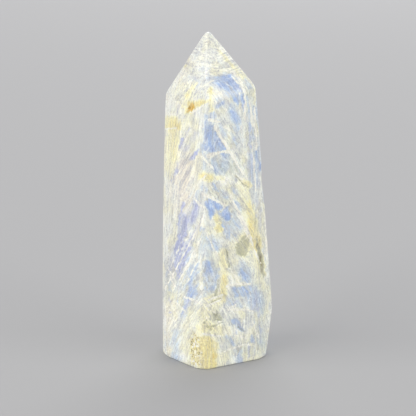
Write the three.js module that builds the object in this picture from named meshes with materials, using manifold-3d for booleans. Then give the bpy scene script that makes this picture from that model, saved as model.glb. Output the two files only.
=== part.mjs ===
// A polished kyanite point: one free-standing stone, ground flat on its faces and brought to a blunt tip.
// Millimetres. +Z is up, the stone stands on z = 0, and -Y is its front.
//
// The stone is ground as a lapidary grinds it: a blank is cut back to one flat face after another, each
// sharp edge is taken off by a narrow bevel, and then the small losses of a natural stone are cut in:
// flutes along the blades, cleavage ledges, an open slit, fine cracks, pits and a broken patch.

import * as THREE from 'three';
import { mergeVertices } from 'three/addons/utils/BufferGeometryUtils.js';
import Module from 'manifold-3d';

const manifold = await Module();
manifold.setup();

// ---- Driving dimensions ----------------------------------------------------------------------------------

const STONE_HEIGHT = 88.9;
const BLANK_WIDTH = 44;
const BLANK_HEIGHT = 110;
const GRINDER_SIZE = 160;

// The point where the crown's faces would meet if the tip were sharp.
const SHARP_TIP = new THREE.Vector3(-2.74, -2.34, 90);

// Long faces. Turn is the compass turn of the face from the front, in degrees, to the right. Reach is its
// distance from the upright axis on the ground, and lean is how far it tips inwards as it rises, in degrees.
const BODY_FACES = {
  frontLeft: { turn: -51.4, reach: 12.48, lean: 1.4 },
  frontEdge: { turn: -12, reach: 13.85, lean: -0.2 },
  frontRight: { turn: 31.1, reach: 10.27, lean: 0.35 },
  right: { turn: 59.6, reach: 12.4, lean: 2.26 },
  rightFoot: { turn: 90, reach: 13.17, lean: -8 },
  backRight: { turn: 132, reach: 13.83, lean: 5.76 },
  back: { turn: 172, reach: 13.32, lean: 1.2 },
  backLeft: { turn: -152, reach: 12.68, lean: 0.6 },
  leftShoulder: { turn: -98, reach: 16.62, lean: 1.64 },
  leftMiddle: { turn: -98, reach: 15.28, lean: 0 },
  leftFoot: { turn: -96, reach: 14.93, lean: -1.6 },
  left: { turn: -70.9, reach: 13.92, lean: 2.05 },
};

// Crown faces, which all pass through the sharp tip. Pitch is how far the face looks up, in degrees.
const CROWN_FACES = {
  crownFrontLeft: { turn: -52.3, pitch: 21.9 },
  crownFrontRight: { turn: 26.8, pitch: 29.2 },
  crownRight: { turn: 58.8, pitch: 34 },
  crownBackRight: { turn: 132, pitch: 32.5 },
  crownBack: { turn: 172, pitch: 36 },
  crownBackLeft: { turn: -152, pitch: 34.5 },
  crownLeftBack: { turn: -112, pitch: 36 },
  crownLeft: { turn: -74.3, pitch: 24.2 },
};

const EDGE_BEVEL_WIDTH = 0.6;
const SHOULDER_BEVEL_WIDTH = 0.7;
const TIP_BEVEL_WIDTH = 0.45;
const FOOT_BEVEL_WIDTH = 0.5;

// Neighbouring faces whose shared edge is bevelled.
const BODY_EDGES = [
  ['left', 'frontLeft'],
  ['frontLeft', 'frontEdge'],
  ['frontEdge', 'frontRight'],
  ['frontLeft', 'frontRight'],
  ['frontRight', 'right'],
  ['right', 'backRight'],
  ['right', 'rightFoot'],
  ['rightFoot', 'backRight'],
  ['backRight', 'back'],
  ['backRight', 'backLeft'],
  ['back', 'backLeft'],
  ['backLeft', 'leftMiddle'],
  ['leftMiddle', 'left'],
  ['leftShoulder', 'left'],
];
const CROWN_EDGES = [
  ['crownLeft', 'crownFrontLeft'],
  ['crownFrontLeft', 'crownFrontRight'],
  ['crownFrontRight', 'crownRight'],
  ['crownRight', 'crownBackRight'],
  ['crownBackRight', 'crownBack'],
  ['crownBack', 'crownBackLeft'],
  ['crownBackLeft', 'crownLeftBack'],
  ['crownLeftBack', 'crownLeft'],
];
const SHOULDER_EDGES = [
  ['left', 'crownLeft'],
  ['frontLeft', 'crownFrontLeft'],
  ['frontRight', 'crownFrontRight'],
  ['right', 'crownRight'],
  ['backRight', 'crownBackRight'],
  ['back', 'crownBack'],
  ['backLeft', 'crownBackLeft'],
  ['leftShoulder', 'crownLeftBack'],
];

// Losses. Along is measured on the face, to the right as it is looked at, from the foot of the perpendicular
// from the upright axis, and height from the ground. Across, up and deep are full sizes. Swing turns the
// shape on the face, in degrees, so that its foot moves to the right.

// Flutes: long shallow hollows between the stone's blades.
const FLUTES = [
  { face: 'right', along: -0.2, height: 54, across: 1.3, up: 38, deep: 0.2, swing: 1 },
  { face: 'right', along: 1.9, height: 55, across: 1.4, up: 34, deep: 0.26, swing: 2 },
  { face: 'right', along: 4, height: 60, across: 1.3, up: 25, deep: 0.2, swing: 3 },
  { face: 'right', along: 6.2, height: 21, across: 1.6, up: 22, deep: 0.22, swing: 2 },
  { face: 'frontRight', along: 5.2, height: 36, across: 1.8, up: 22, deep: 0.24, swing: 5 },
  { face: 'backRight', along: -3.4, height: 44, across: 1.8, up: 52, deep: 0.26, swing: -2 },
  { face: 'backRight', along: 0.6, height: 36, across: 1.5, up: 40, deep: 0.22, swing: 1 },
  { face: 'backRight', along: 4.6, height: 42, across: 1.7, up: 44, deep: 0.24, swing: 3 },
  { face: 'backLeft', along: -4.6, height: 40, across: 1.6, up: 46, deep: 0.22, swing: 1 },
  { face: 'backLeft', along: 1.6, height: 28, across: 1.5, up: 34, deep: 0.2, swing: -2 },
];

// Hollows: shallow scoops where a flake has come away.
const HOLLOWS = [
  { face: 'right', along: 6.6, height: 48, across: 3.4, up: 13, deep: 1.1, swing: 3 },
  { face: 'frontLeft', along: 2, height: 69.6, across: 2.2, up: 1.5, deep: 0.8, swing: 30 },
  { face: 'crownLeft', along: -4.4, height: 79.7, across: 1.6, up: 1.3, deep: 0.7, swing: 0 },
  { face: 'frontRight', along: 3.6, height: 5, across: 1.1, up: 1, deep: 0.6, swing: 0 },
  { face: 'frontRight', along: -5.6, height: 13.6, across: 3.2, up: 3.6, deep: 0.5, swing: 20 },
  { face: 'backLeft', along: 4.4, height: 57, across: 3.4, up: 6, deep: 0.7, swing: 15 },
  { face: 'backRight', along: -5.8, height: 18, across: 2.8, up: 5, deep: 0.8, swing: -10 },
  { face: 'back', along: 0.5, height: 64, across: 2, up: 3.4, deep: 0.6, swing: 10 },
  { face: 'leftMiddle', along: 0.4, height: 33, across: 1.7, up: 4, deep: 0.5, swing: 0 },
];

// Ledges: low cleavage steps. The step is sharp on its right side and runs out to nothing on its left. Across
// and up are those of the whole flake, of which the left half comes away.
const LEDGES = [
  { face: 'frontRight', along: -2.9, height: 58.2, across: 10, up: 19, deep: 0.55, swing: 31 },
  { face: 'frontRight', along: -2.6, height: 30, across: 7, up: 15, deep: 0.4, swing: 12 },
  { face: 'frontLeft', along: 2.9, height: 34, across: 8, up: 24, deep: 0.44, swing: -19 },
  { face: 'backRight', along: 2.6, height: 52, across: 9, up: 20, deep: 0.52, swing: -24 },
  { face: 'backLeft', along: -1, height: 45, across: 10, up: 22, deep: 0.56, swing: 27 },
  { face: 'backLeft', along: 3.2, height: 18, across: 8, up: 15, deep: 0.44, swing: -15 },
];

// Slits: narrow cracks, pointed at both ends and v-shaped across.
const SLITS = [
  { face: 'right', along: 3.1, height: 28, across: 1.6, up: 12, deep: 2, swing: 15 },
  { face: 'frontRight', along: -6.4, height: 21.4, across: 0.8, up: 3.8, deep: 0.8, swing: -16 },
  { face: 'frontRight', along: -8.7, height: 12, across: 0.5, up: 3.6, deep: 0.6, swing: 42 },
  { face: 'frontRight', along: -6.3, height: 12.2, across: 0.4, up: 3.2, deep: 0.5, swing: -68 },
  { face: 'frontRight', along: -3.2, height: 30, across: 0.5, up: 5, deep: 0.6, swing: 14 },
  { face: 'backLeft', along: -5.6, height: 61, across: 0.7, up: 6, deep: 0.9, swing: -12 },
  { face: 'backRight', along: 5.2, height: 24, across: 0.8, up: 7, deep: 1, swing: 14 },
];

// The broken patch by the foot of the front edge: a shallow triangle, filled with small pits.
const PATCH = {
  face: 'frontLeft',
  along: 5.3,
  height: 3.6,
  across: 2.9,
  up: 13.5,
  deep: 0.7,
  swing: 4,
};
const PATCH_FOOT = 0.6;
const PATCH_TOP = 9.6;
const PATCH_FOOT_WIDTH = 2.5;
const PATCH_TOP_NARROWING = 0.75;
const PIT_COUNT = 26;
const PIT_WIDTHS = [0.55, 1.05];
const PIT_STRETCHES = [0.8, 1.4];
const PIT_DEPTH_OVER_WIDTH = 1.3;
const PIT_SEED = 7;

// How far the uneven lumps depart from round, and how quickly their radius swings.
const LUMP_UNEVENNESS = 0.14;
const LUMP_SWING_ACROSS = 9;
const LUMP_SWING_UP = 8;
const FLAKE_DETAIL = 2;
const PIT_DETAIL = 0;
const FLUTE_SEGMENTS = [8, 12];
const LEDGE_SEGMENTS = [16, 14];

// ---- Solids ----------------------------------------------------------------------------------------------

const UP = new THREE.Vector3(0, 0, 1);

function solidFrom(geometry) {
  const bare = geometry.clone();
  bare.deleteAttribute('normal');
  bare.deleteAttribute('uv');
  const merged = mergeVertices(bare, 1e-5);
  return new manifold.Manifold(new manifold.Mesh({
    numProp: 3,
    vertProperties: new Float32Array(merged.attributes.position.array),
    triVerts: new Uint32Array(merged.index.array),
  }));
}

function geometryFrom(solid) {
  const mesh = solid.getMesh();
  const geometry = new THREE.BufferGeometry();
  geometry.setAttribute('position', new THREE.BufferAttribute(new Float32Array(mesh.vertProperties), 3));
  geometry.setIndex(new THREE.BufferAttribute(new Uint32Array(mesh.triVerts), 1));
  return geometry;
}

// ---- Planes ----------------------------------------------------------------------------------------------

// The unit direction a face looks in: turn degrees round from the front, and rise degrees up.
function direction(turn, rise) {
  const around = THREE.MathUtils.degToRad(turn);
  const up = THREE.MathUtils.degToRad(rise);
  return new THREE.Vector3(Math.sin(around) * Math.cos(up), -Math.cos(around) * Math.cos(up), Math.sin(up));
}

function bodyPlane({ turn, reach, lean }) {
  const onGround = direction(turn, 0).multiplyScalar(reach);
  return new THREE.Plane().setFromNormalAndCoplanarPoint(direction(turn, lean), onGround);
}

function crownPlane({ turn, pitch }) {
  return new THREE.Plane().setFromNormalAndCoplanarPoint(direction(turn, pitch), SHARP_TIP);
}

// The plane that takes off the edge where two faces meet, leaving a flat of the given width.
function bevelPlane(first, second, width) {
  const sum = first.normal.clone().add(second.normal);
  const halfTurn = first.normal.angleTo(second.normal) / 2;
  const inset = (width / 2) * Math.tan(halfTurn);
  const constant = (first.constant + second.constant) / sum.length() + inset;
  return new THREE.Plane(sum.normalize(), constant);
}

// ---- Grinding --------------------------------------------------------------------------------------------

// Everything outside the plane, as a large block.
function wasteBeyond(plane) {
  const geometry = new THREE.BoxGeometry(GRINDER_SIZE, GRINDER_SIZE, GRINDER_SIZE);
  geometry.translate(0, 0, GRINDER_SIZE / 2);
  geometry.applyQuaternion(new THREE.Quaternion().setFromUnitVectors(UP, plane.normal));
  const foot = plane.normal.clone().multiplyScalar(-plane.constant);
  geometry.translate(foot.x, foot.y, foot.z);
  return solidFrom(geometry);
}

function grind(stone, planes) {
  return planes.reduce((left, plane) => left.subtract(wasteBeyond(plane)), stone);
}

const planes = {};
for (const [name, face] of Object.entries(BODY_FACES)) {
  planes[name] = bodyPlane(face);
}
for (const [name, face] of Object.entries(CROWN_FACES)) {
  planes[name] = crownPlane(face);
}
const tipPlane = new THREE.Plane(UP.clone(), -STONE_HEIGHT);
const groundPlane = new THREE.Plane(UP.clone().negate(), 0);

function bevels(edges, width) {
  return edges.map(([first, second]) => bevelPlane(planes[first], planes[second], width));
}

function groundStone() {
  const blank = new THREE.BoxGeometry(BLANK_WIDTH, BLANK_WIDTH, BLANK_HEIGHT);
  blank.translate(0, 0, BLANK_HEIGHT / 2);
  const flats = [...Object.values(planes), tipPlane];
  const footBevels = Object.keys(BODY_FACES).map((name) =>
    bevelPlane(planes[name], groundPlane, FOOT_BEVEL_WIDTH));
  const tipBevels = Object.keys(CROWN_FACES).map((name) =>
    bevelPlane(planes[name], tipPlane, TIP_BEVEL_WIDTH));
  return grind(solidFrom(blank), [
    ...flats,
    ...bevels(BODY_EDGES, EDGE_BEVEL_WIDTH),
    ...bevels(CROWN_EDGES, EDGE_BEVEL_WIDTH),
    ...bevels(SHOULDER_EDGES, SHOULDER_BEVEL_WIDTH),
    ...footBevels,
    ...tipBevels,
  ]);
}

// ---- Losses ----------------------------------------------------------------------------------------------

// Lays a shape on a face: its X runs along the face, its Z up the face and its -Y out of the stone.
function layOnFace(geometry, { face, along, height, swing }) {
  const { turn } = BODY_FACES[face] ?? CROWN_FACES[face];
  const plane = planes[face];
  const around = THREE.MathUtils.degToRad(turn);
  const right = new THREE.Vector3(Math.cos(around), Math.sin(around), 0);
  const inwards = plane.normal.clone().negate();
  const upFace = new THREE.Vector3().crossVectors(right, inwards);
  const level = direction(turn, 0);
  const seat = right.clone().multiplyScalar(along).addScaledVector(UP, height);
  seat.addScaledVector(level, -plane.distanceToPoint(seat) / plane.normal.dot(level));
  geometry.applyMatrix4(new THREE.Matrix4().makeRotationY(THREE.MathUtils.degToRad(-swing)));
  geometry.applyMatrix4(new THREE.Matrix4().makeBasis(right, inwards, upFace).setPosition(seat));
  return solidFrom(geometry);
}

// A ball squashed to the loss's size.
function squashedBall({ across, deep, up }, segments) {
  const ball = new THREE.SphereGeometry(0.5, ...segments);
  ball.rotateX(Math.PI / 2);
  ball.scale(across, deep, up);
  return ball;
}

// A smooth scoop, half of the ball in the stone.
function flute(loss) {
  return layOnFace(squashedBall(loss, FLUTE_SEGMENTS), loss);
}

// An uneven lump squashed to the loss's size: its radius swings with the direction from its middle.
function flake(loss, detail) {
  const lump = new THREE.IcosahedronGeometry(0.5, detail);
  const points = lump.attributes.position;
  const point = new THREE.Vector3();
  for (let index = 0; index < points.count; index += 1) {
    point.fromBufferAttribute(points, index);
    const swingAcross = Math.sin(LUMP_SWING_ACROSS * point.x + loss.height);
    const swingUp = Math.cos(LUMP_SWING_UP * point.z + loss.along);
    point.multiplyScalar(1 + LUMP_UNEVENNESS * swingAcross * swingUp);
    points.setXYZ(index, point.x, point.y, point.z);
  }
  lump.scale(loss.across, loss.deep, loss.up);
  return layOnFace(lump, loss);
}

// An eight-sided crystal shape squashed to the loss's size, half of it in the stone.
function slit(loss) {
  const crack = new THREE.OctahedronGeometry(0.5);
  crack.scale(loss.across, loss.deep, loss.up);
  return layOnFace(crack, loss);
}

// The left half of a squashed ball, so that the scoop is deepest at the straight step on its right.
function ledge(loss) {
  const rightHalf = new THREE.BoxGeometry(loss.across, loss.across, loss.up * 2);
  rightHalf.translate(loss.across / 2, 0, 0);
  const leftHalf = solidFrom(squashedBall(loss, LEDGE_SEGMENTS)).subtract(solidFrom(rightHalf));
  return layOnFace(geometryFrom(leftHalf), loss);
}

// A repeatable run of numbers from 0 to 1, by Lehmer's multiplying generator.
function numberRun(seed) {
  const factor = 16807;
  const modulus = 2147483647;
  let state = seed;
  return () => {
    state = (state * factor) % modulus;
    return state / modulus;
  };
}

// Pits strewn over the broken patch, which narrows from its foot to its top.
function patchPits() {
  const next = numberRun(PIT_SEED);
  return Array.from({ length: PIT_COUNT }, () => {
    const height = THREE.MathUtils.lerp(PATCH_FOOT, PATCH_TOP, next());
    const halfWidth = (PATCH_FOOT_WIDTH / 2) * (1 - (PATCH_TOP_NARROWING * height) / PATCH_TOP);
    const across = THREE.MathUtils.lerp(...PIT_WIDTHS, next());
    return {
      face: PATCH.face,
      along: PATCH.along + (2 * next() - 1) * halfWidth,
      height,
      across,
      up: across * THREE.MathUtils.lerp(...PIT_STRETCHES, next()),
      deep: across * PIT_DEPTH_OVER_WIDTH,
      swing: 90 * next(),
    };
  });
}

function weatheredStone() {
  const losses = [
    ...FLUTES.map(flute),
    ...HOLLOWS.map((loss) => flake(loss, FLAKE_DETAIL)),
    ...LEDGES.map(ledge),
    ...SLITS.map(slit),
    flake(PATCH, FLAKE_DETAIL),
    ...patchPits().map((loss) => flake(loss, PIT_DETAIL)),
  ];
  return losses.reduce((left, loss) => left.subtract(loss), groundStone());
}

// ---- The part --------------------------------------------------------------------------------------------

// The finished stone, moved so that the middle of its box is over the origin.
function standingStone() {
  const geometry = geometryFrom(weatheredStone());
  geometry.computeBoundingBox();
  const middle = geometry.boundingBox.getCenter(new THREE.Vector3());
  geometry.translate(-middle.x, -middle.y, -geometry.boundingBox.min.z);
  geometry.computeVertexNormals();
  return geometry;
}

const stoneFinish = new THREE.MeshStandardMaterial({ color: 0xdcddd3, roughness: 0.32, metalness: 0 });
const stone = new THREE.Mesh(standingStone(), stoneFinish);
stone.name = 'kyanite_point';

const group = new THREE.Group();
group.add(stone);

export default group;
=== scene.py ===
"""Polished kyanite point: its rounded form, blade pattern, studio and camera.

The stone is one closed grid of rows and columns, held against flat planes and
rounded where they meet. Lengths in the tables are millimetres and angles are
degrees; turn is the compass turn of a face from the front (-Y), growing
towards the right (+X).
"""

import logging
import math
from dataclasses import dataclass, field
from enum import Enum
from typing import Any, Union

import bpy
import numpy as np
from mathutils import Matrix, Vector

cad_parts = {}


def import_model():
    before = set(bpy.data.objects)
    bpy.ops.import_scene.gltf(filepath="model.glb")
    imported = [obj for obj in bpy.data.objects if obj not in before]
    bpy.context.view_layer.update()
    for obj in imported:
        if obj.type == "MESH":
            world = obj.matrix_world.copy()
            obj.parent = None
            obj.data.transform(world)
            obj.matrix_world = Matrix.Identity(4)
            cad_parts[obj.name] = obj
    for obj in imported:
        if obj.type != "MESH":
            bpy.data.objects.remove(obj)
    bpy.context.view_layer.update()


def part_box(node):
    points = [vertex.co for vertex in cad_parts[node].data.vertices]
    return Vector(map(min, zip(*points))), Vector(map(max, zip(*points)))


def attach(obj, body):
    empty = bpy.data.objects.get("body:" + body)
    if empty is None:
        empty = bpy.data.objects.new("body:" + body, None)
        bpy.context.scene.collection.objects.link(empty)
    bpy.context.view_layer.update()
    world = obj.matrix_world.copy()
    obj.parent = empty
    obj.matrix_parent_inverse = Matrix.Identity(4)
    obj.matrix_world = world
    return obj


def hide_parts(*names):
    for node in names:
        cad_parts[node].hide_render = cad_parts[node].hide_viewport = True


LOG = logging.getLogger("kyanite_point")

MM = 0.001
STONE_HEIGHT = 88.9
SHARP_TIP = np.array([-2.74, -2.34, 90.0])
SHOULDER_TOP = 72.0

VIEW_AIM = np.array([-2.515, -2.387, 41.66])
VIEW_DISTANCE = 461.2
VIEW_ELEVATION = 13.96

WAVE_COUNT = 8
WAVE_SPREAD = (0.6, 1.6)
RIPPLE_SEED = 5
LOSS_SEED = 17
WOBBLE_SEEDS = (31, 32, 33)
FINE_WOBBLE_SEEDS = (41, 42, 43)
TINY = 1e-9

Place = tuple[float, float]
Colour = tuple[float, float, float]


def unit(vector: np.ndarray) -> np.ndarray:
    """Returns the vector, or each row of it, at length one."""
    return vector / np.linalg.norm(vector, axis=-1, keepdims=True)


def facing(turn: float, rise: float) -> np.ndarray:
    """Returns the unit direction of a turn and of a rise above level, in degrees."""
    turn, rise = math.radians(turn), math.radians(rise)
    return np.array([math.sin(turn) * math.cos(rise), -math.cos(turn) * math.cos(rise),
                     math.sin(rise)])


def smooth_ramp(value: np.ndarray, low: float, high: float) -> np.ndarray:
    """Rises from 0 at low to 1 at high along 3t^2 - 2t^3.

    Args:
        value: Any array.
        low: Where the rise starts.
        high: Where it ends.

    Returns:
        An array of the same shape, from 0 to 1.
    """
    share = np.clip((value - low) / (high - low), 0.0, 1.0)
    return share * share * (3.0 - 2.0 * share)


def wander(points: np.ndarray, wavelength: float, seed: int) -> np.ndarray:
    """A calm random field: twice the mean of sines of random direction and phase.

    Args:
        points: Rows of coordinates, in millimetres.
        wavelength: Middling wavelength, in millimetres.
        seed: Seed of the directions and phases.

    Returns:
        One number per row, mostly between -1 and 1.
    """
    rng = np.random.default_rng(seed)
    waves = unit(rng.normal(size=(WAVE_COUNT, points.shape[1])))
    waves *= (2.0 * math.pi / wavelength) * rng.uniform(*WAVE_SPREAD, (WAVE_COUNT, 1))
    phases = rng.uniform(0.0, 2.0 * math.pi, WAVE_COUNT)
    return np.sin(points @ waves.T + phases).mean(axis=1) * 2.0


@dataclass(frozen=True)
class Plane:
    """A half space: the stone lies where normal . p is at most distance."""

    normal: np.ndarray
    distance: float


@dataclass(frozen=True)
class BodyFace:
    """One side of the tower, through the ground point at reach along turn."""

    turn: float
    reach: float
    lean: float

    def plane(self) -> Plane:
        """Returns the side as a plane; a positive lean tips it inwards going up."""
        return Plane(facing(self.turn, self.lean),
                     self.reach * math.cos(math.radians(self.lean)))


@dataclass(frozen=True)
class CrownFace:
    """One facet of the crown, through the sharp tip."""

    turn: float
    pitch: float

    def plane(self) -> Plane:
        """Returns the facet as a plane; pitch is its normal's rise."""
        normal = facing(self.turn, self.pitch)
        return Plane(normal, float(normal @ SHARP_TIP))


class LossKind(Enum):
    """How a shallow loss is cut into a face."""

    ROUND = "round"
    LEDGE = "ledge"
    SLIT = "slit"


@dataclass(frozen=True)
class Loss:
    """A shallow loss on one face: a flute, a hollow, a flake's ledge or a slit.

    Attributes:
        face: Name of the face that it is cut into.
        along: Its centre, measured along the face from the stone's axis.
        height: Its centre above the foot.
        across: Its full width.
        up: Its full height.
        deep: Twice its depth at the centre.
        swing: Turn in the face that moves its foot to the right.
        kind: Shape of its hollow.
        step: Half the width over which a ledge drops.
    """

    face: str
    along: float
    height: float
    across: float
    up: float
    deep: float
    swing: float = 0.0
    kind: LossKind = LossKind.ROUND
    step: float = 0.12

    def depth(self, along: np.ndarray, height: np.ndarray) -> np.ndarray:
        """Depth of the loss over the face.

        ROUND is half a flattened ball, deep/2 * sqrt(1 - u^2 - w^2); LEDGE is
        its left half, ending in a small step; SLIT is deep/2 * (1 - |u| - |w|).

        Args:
            along: Places along the face.
            height: Places up the face.

        Returns:
            Depth under the face's plane, 0 outside the loss.
        """
        swing = math.radians(self.swing)
        side, rise = along - self.along, height - self.height
        over = side * math.cos(swing) + rise * math.sin(swing)
        up = rise * math.cos(swing) - side * math.sin(swing)
        u, w = 2.0 * over / self.across, 2.0 * up / self.up
        if self.kind is LossKind.SLIT:
            return 0.5 * self.deep * np.clip(1.0 - np.abs(u) - np.abs(w), 0.0, 1.0)
        bowl = 0.5 * self.deep * np.sqrt(np.clip(1.0 - u * u - w * w, 0.0, 1.0))
        if self.kind is LossKind.LEDGE:
            bowl = bowl * smooth_ramp(-over, -self.step, self.step)
        return bowl


BODY_FACES: dict[str, BodyFace] = {
    "frontLeft": BodyFace(-51.4, 12.48, 1.4),
    "frontEdge": BodyFace(-12.0, 13.85, -0.2),
    "frontRight": BodyFace(31.1, 10.27, 0.35),
    "right": BodyFace(59.6, 12.4, 2.26),
    "rightFoot": BodyFace(90.0, 13.17, -8.0),
    "backRight": BodyFace(132.0, 13.83, 5.76),
    "back": BodyFace(172.0, 13.32, 1.2),
    "backLeft": BodyFace(-152.0, 12.68, 0.6),
    "leftShoulder": BodyFace(-98.0, 16.62, 1.64),
    "leftMiddle": BodyFace(-98.0, 15.28, 0.0),
    "leftFoot": BodyFace(-96.0, 14.93, -1.6),
    "left": BodyFace(-70.9, 13.92, 2.05),
}

CROWN_FACES: dict[str, CrownFace] = {
    "crownFrontLeft": CrownFace(-52.3, 21.9),
    "crownFrontRight": CrownFace(26.8, 29.2),
    "crownRight": CrownFace(58.8, 34.0),
    "crownBackRight": CrownFace(132.0, 32.5),
    "crownBack": CrownFace(172.0, 36.0),
    "crownBackLeft": CrownFace(-152.0, 34.5),
    "crownLeftBack": CrownFace(-112.0, 36.0),
    "crownLeft": CrownFace(-74.3, 24.2),
}

# One side for each turn, in order round the stone: columns follow their meetings.
RING = ("left", "frontLeft", "frontEdge", "frontRight", "right", "backRight", "back",
        "backLeft", "leftMiddle")
CORNERS: tuple[tuple[str, str], ...] = tuple(zip(RING, RING[1:] + RING[:1]))

FLUTES: tuple[Loss, ...] = (
    Loss("right", -0.2, 54.0, 1.3, 38.0, 0.2, 1.0),
    Loss("right", 1.9, 55.0, 1.4, 34.0, 0.26, 2.0),
    Loss("right", 4.0, 60.0, 1.3, 25.0, 0.2, 3.0),
    Loss("right", 6.2, 21.0, 1.6, 22.0, 0.22, 2.0),
    Loss("frontRight", 5.2, 36.0, 1.8, 22.0, 0.24, 5.0),
    Loss("backRight", -3.4, 44.0, 1.8, 52.0, 0.26, -2.0),
    Loss("backRight", 0.6, 36.0, 1.5, 40.0, 0.22, 1.0),
    Loss("backRight", 4.6, 42.0, 1.7, 44.0, 0.24, 3.0),
    Loss("backLeft", -4.6, 40.0, 1.6, 46.0, 0.22, 1.0),
    Loss("backLeft", 1.6, 28.0, 1.5, 34.0, 0.2, -2.0),
)

HOLLOWS: tuple[Loss, ...] = (
    Loss("right", 6.6, 48.0, 3.4, 13.0, 1.1, 3.0),
    Loss("frontLeft", 2.0, 69.6, 2.2, 1.5, 0.8, 30.0),
    Loss("crownLeft", -4.4, 79.7, 1.6, 1.3, 0.7),
    Loss("frontRight", 3.6, 5.0, 1.1, 1.0, 0.6),
    Loss("frontRight", -5.6, 13.6, 3.2, 3.6, 0.5, 20.0),
    Loss("backLeft", 4.4, 57.0, 3.4, 6.0, 0.7, 15.0),
    Loss("backRight", -5.8, 18.0, 2.8, 5.0, 0.8, -10.0),
    Loss("back", 0.5, 64.0, 2.0, 3.4, 0.6, 10.0),
    Loss("leftMiddle", 0.4, 33.0, 1.7, 4.0, 0.5),
    Loss("frontLeft", 5.3, 3.6, 2.9, 13.5, 0.7, 4.0),
)

LEDGES: tuple[Loss, ...] = (
    Loss("frontRight", -2.9, 58.2, 10.0, 19.0, 0.55, 31.0, LossKind.LEDGE),
    Loss("frontRight", -2.6, 30.0, 7.0, 15.0, 0.4, 12.0, LossKind.LEDGE),
    Loss("frontLeft", 2.9, 34.0, 8.0, 24.0, 0.44, -19.0, LossKind.LEDGE),
    Loss("backRight", 2.6, 52.0, 9.0, 20.0, 0.52, -24.0, LossKind.LEDGE),
    Loss("backLeft", -1.0, 45.0, 10.0, 22.0, 0.56, 27.0, LossKind.LEDGE),
    Loss("backLeft", 3.2, 18.0, 8.0, 15.0, 0.44, -15.0, LossKind.LEDGE),
)

SLITS: tuple[Loss, ...] = (
    Loss("right", 3.1, 28.0, 1.6, 12.0, 2.0, 15.0, LossKind.SLIT),
    Loss("frontRight", -6.4, 21.4, 0.8, 3.8, 0.8, -16.0, LossKind.SLIT),
    Loss("frontRight", -8.7, 12.0, 0.5, 3.6, 0.6, 42.0, LossKind.SLIT),
    Loss("frontRight", -6.3, 12.2, 0.4, 3.2, 0.5, -68.0, LossKind.SLIT),
    Loss("frontRight", -3.2, 30.0, 0.5, 5.0, 0.6, 14.0, LossKind.SLIT),
    Loss("backLeft", -5.6, 61.0, 0.7, 6.0, 0.9, -12.0, LossKind.SLIT),
    Loss("backRight", 5.2, 24.0, 0.8, 7.0, 1.0, 14.0, LossKind.SLIT),
)


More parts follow.
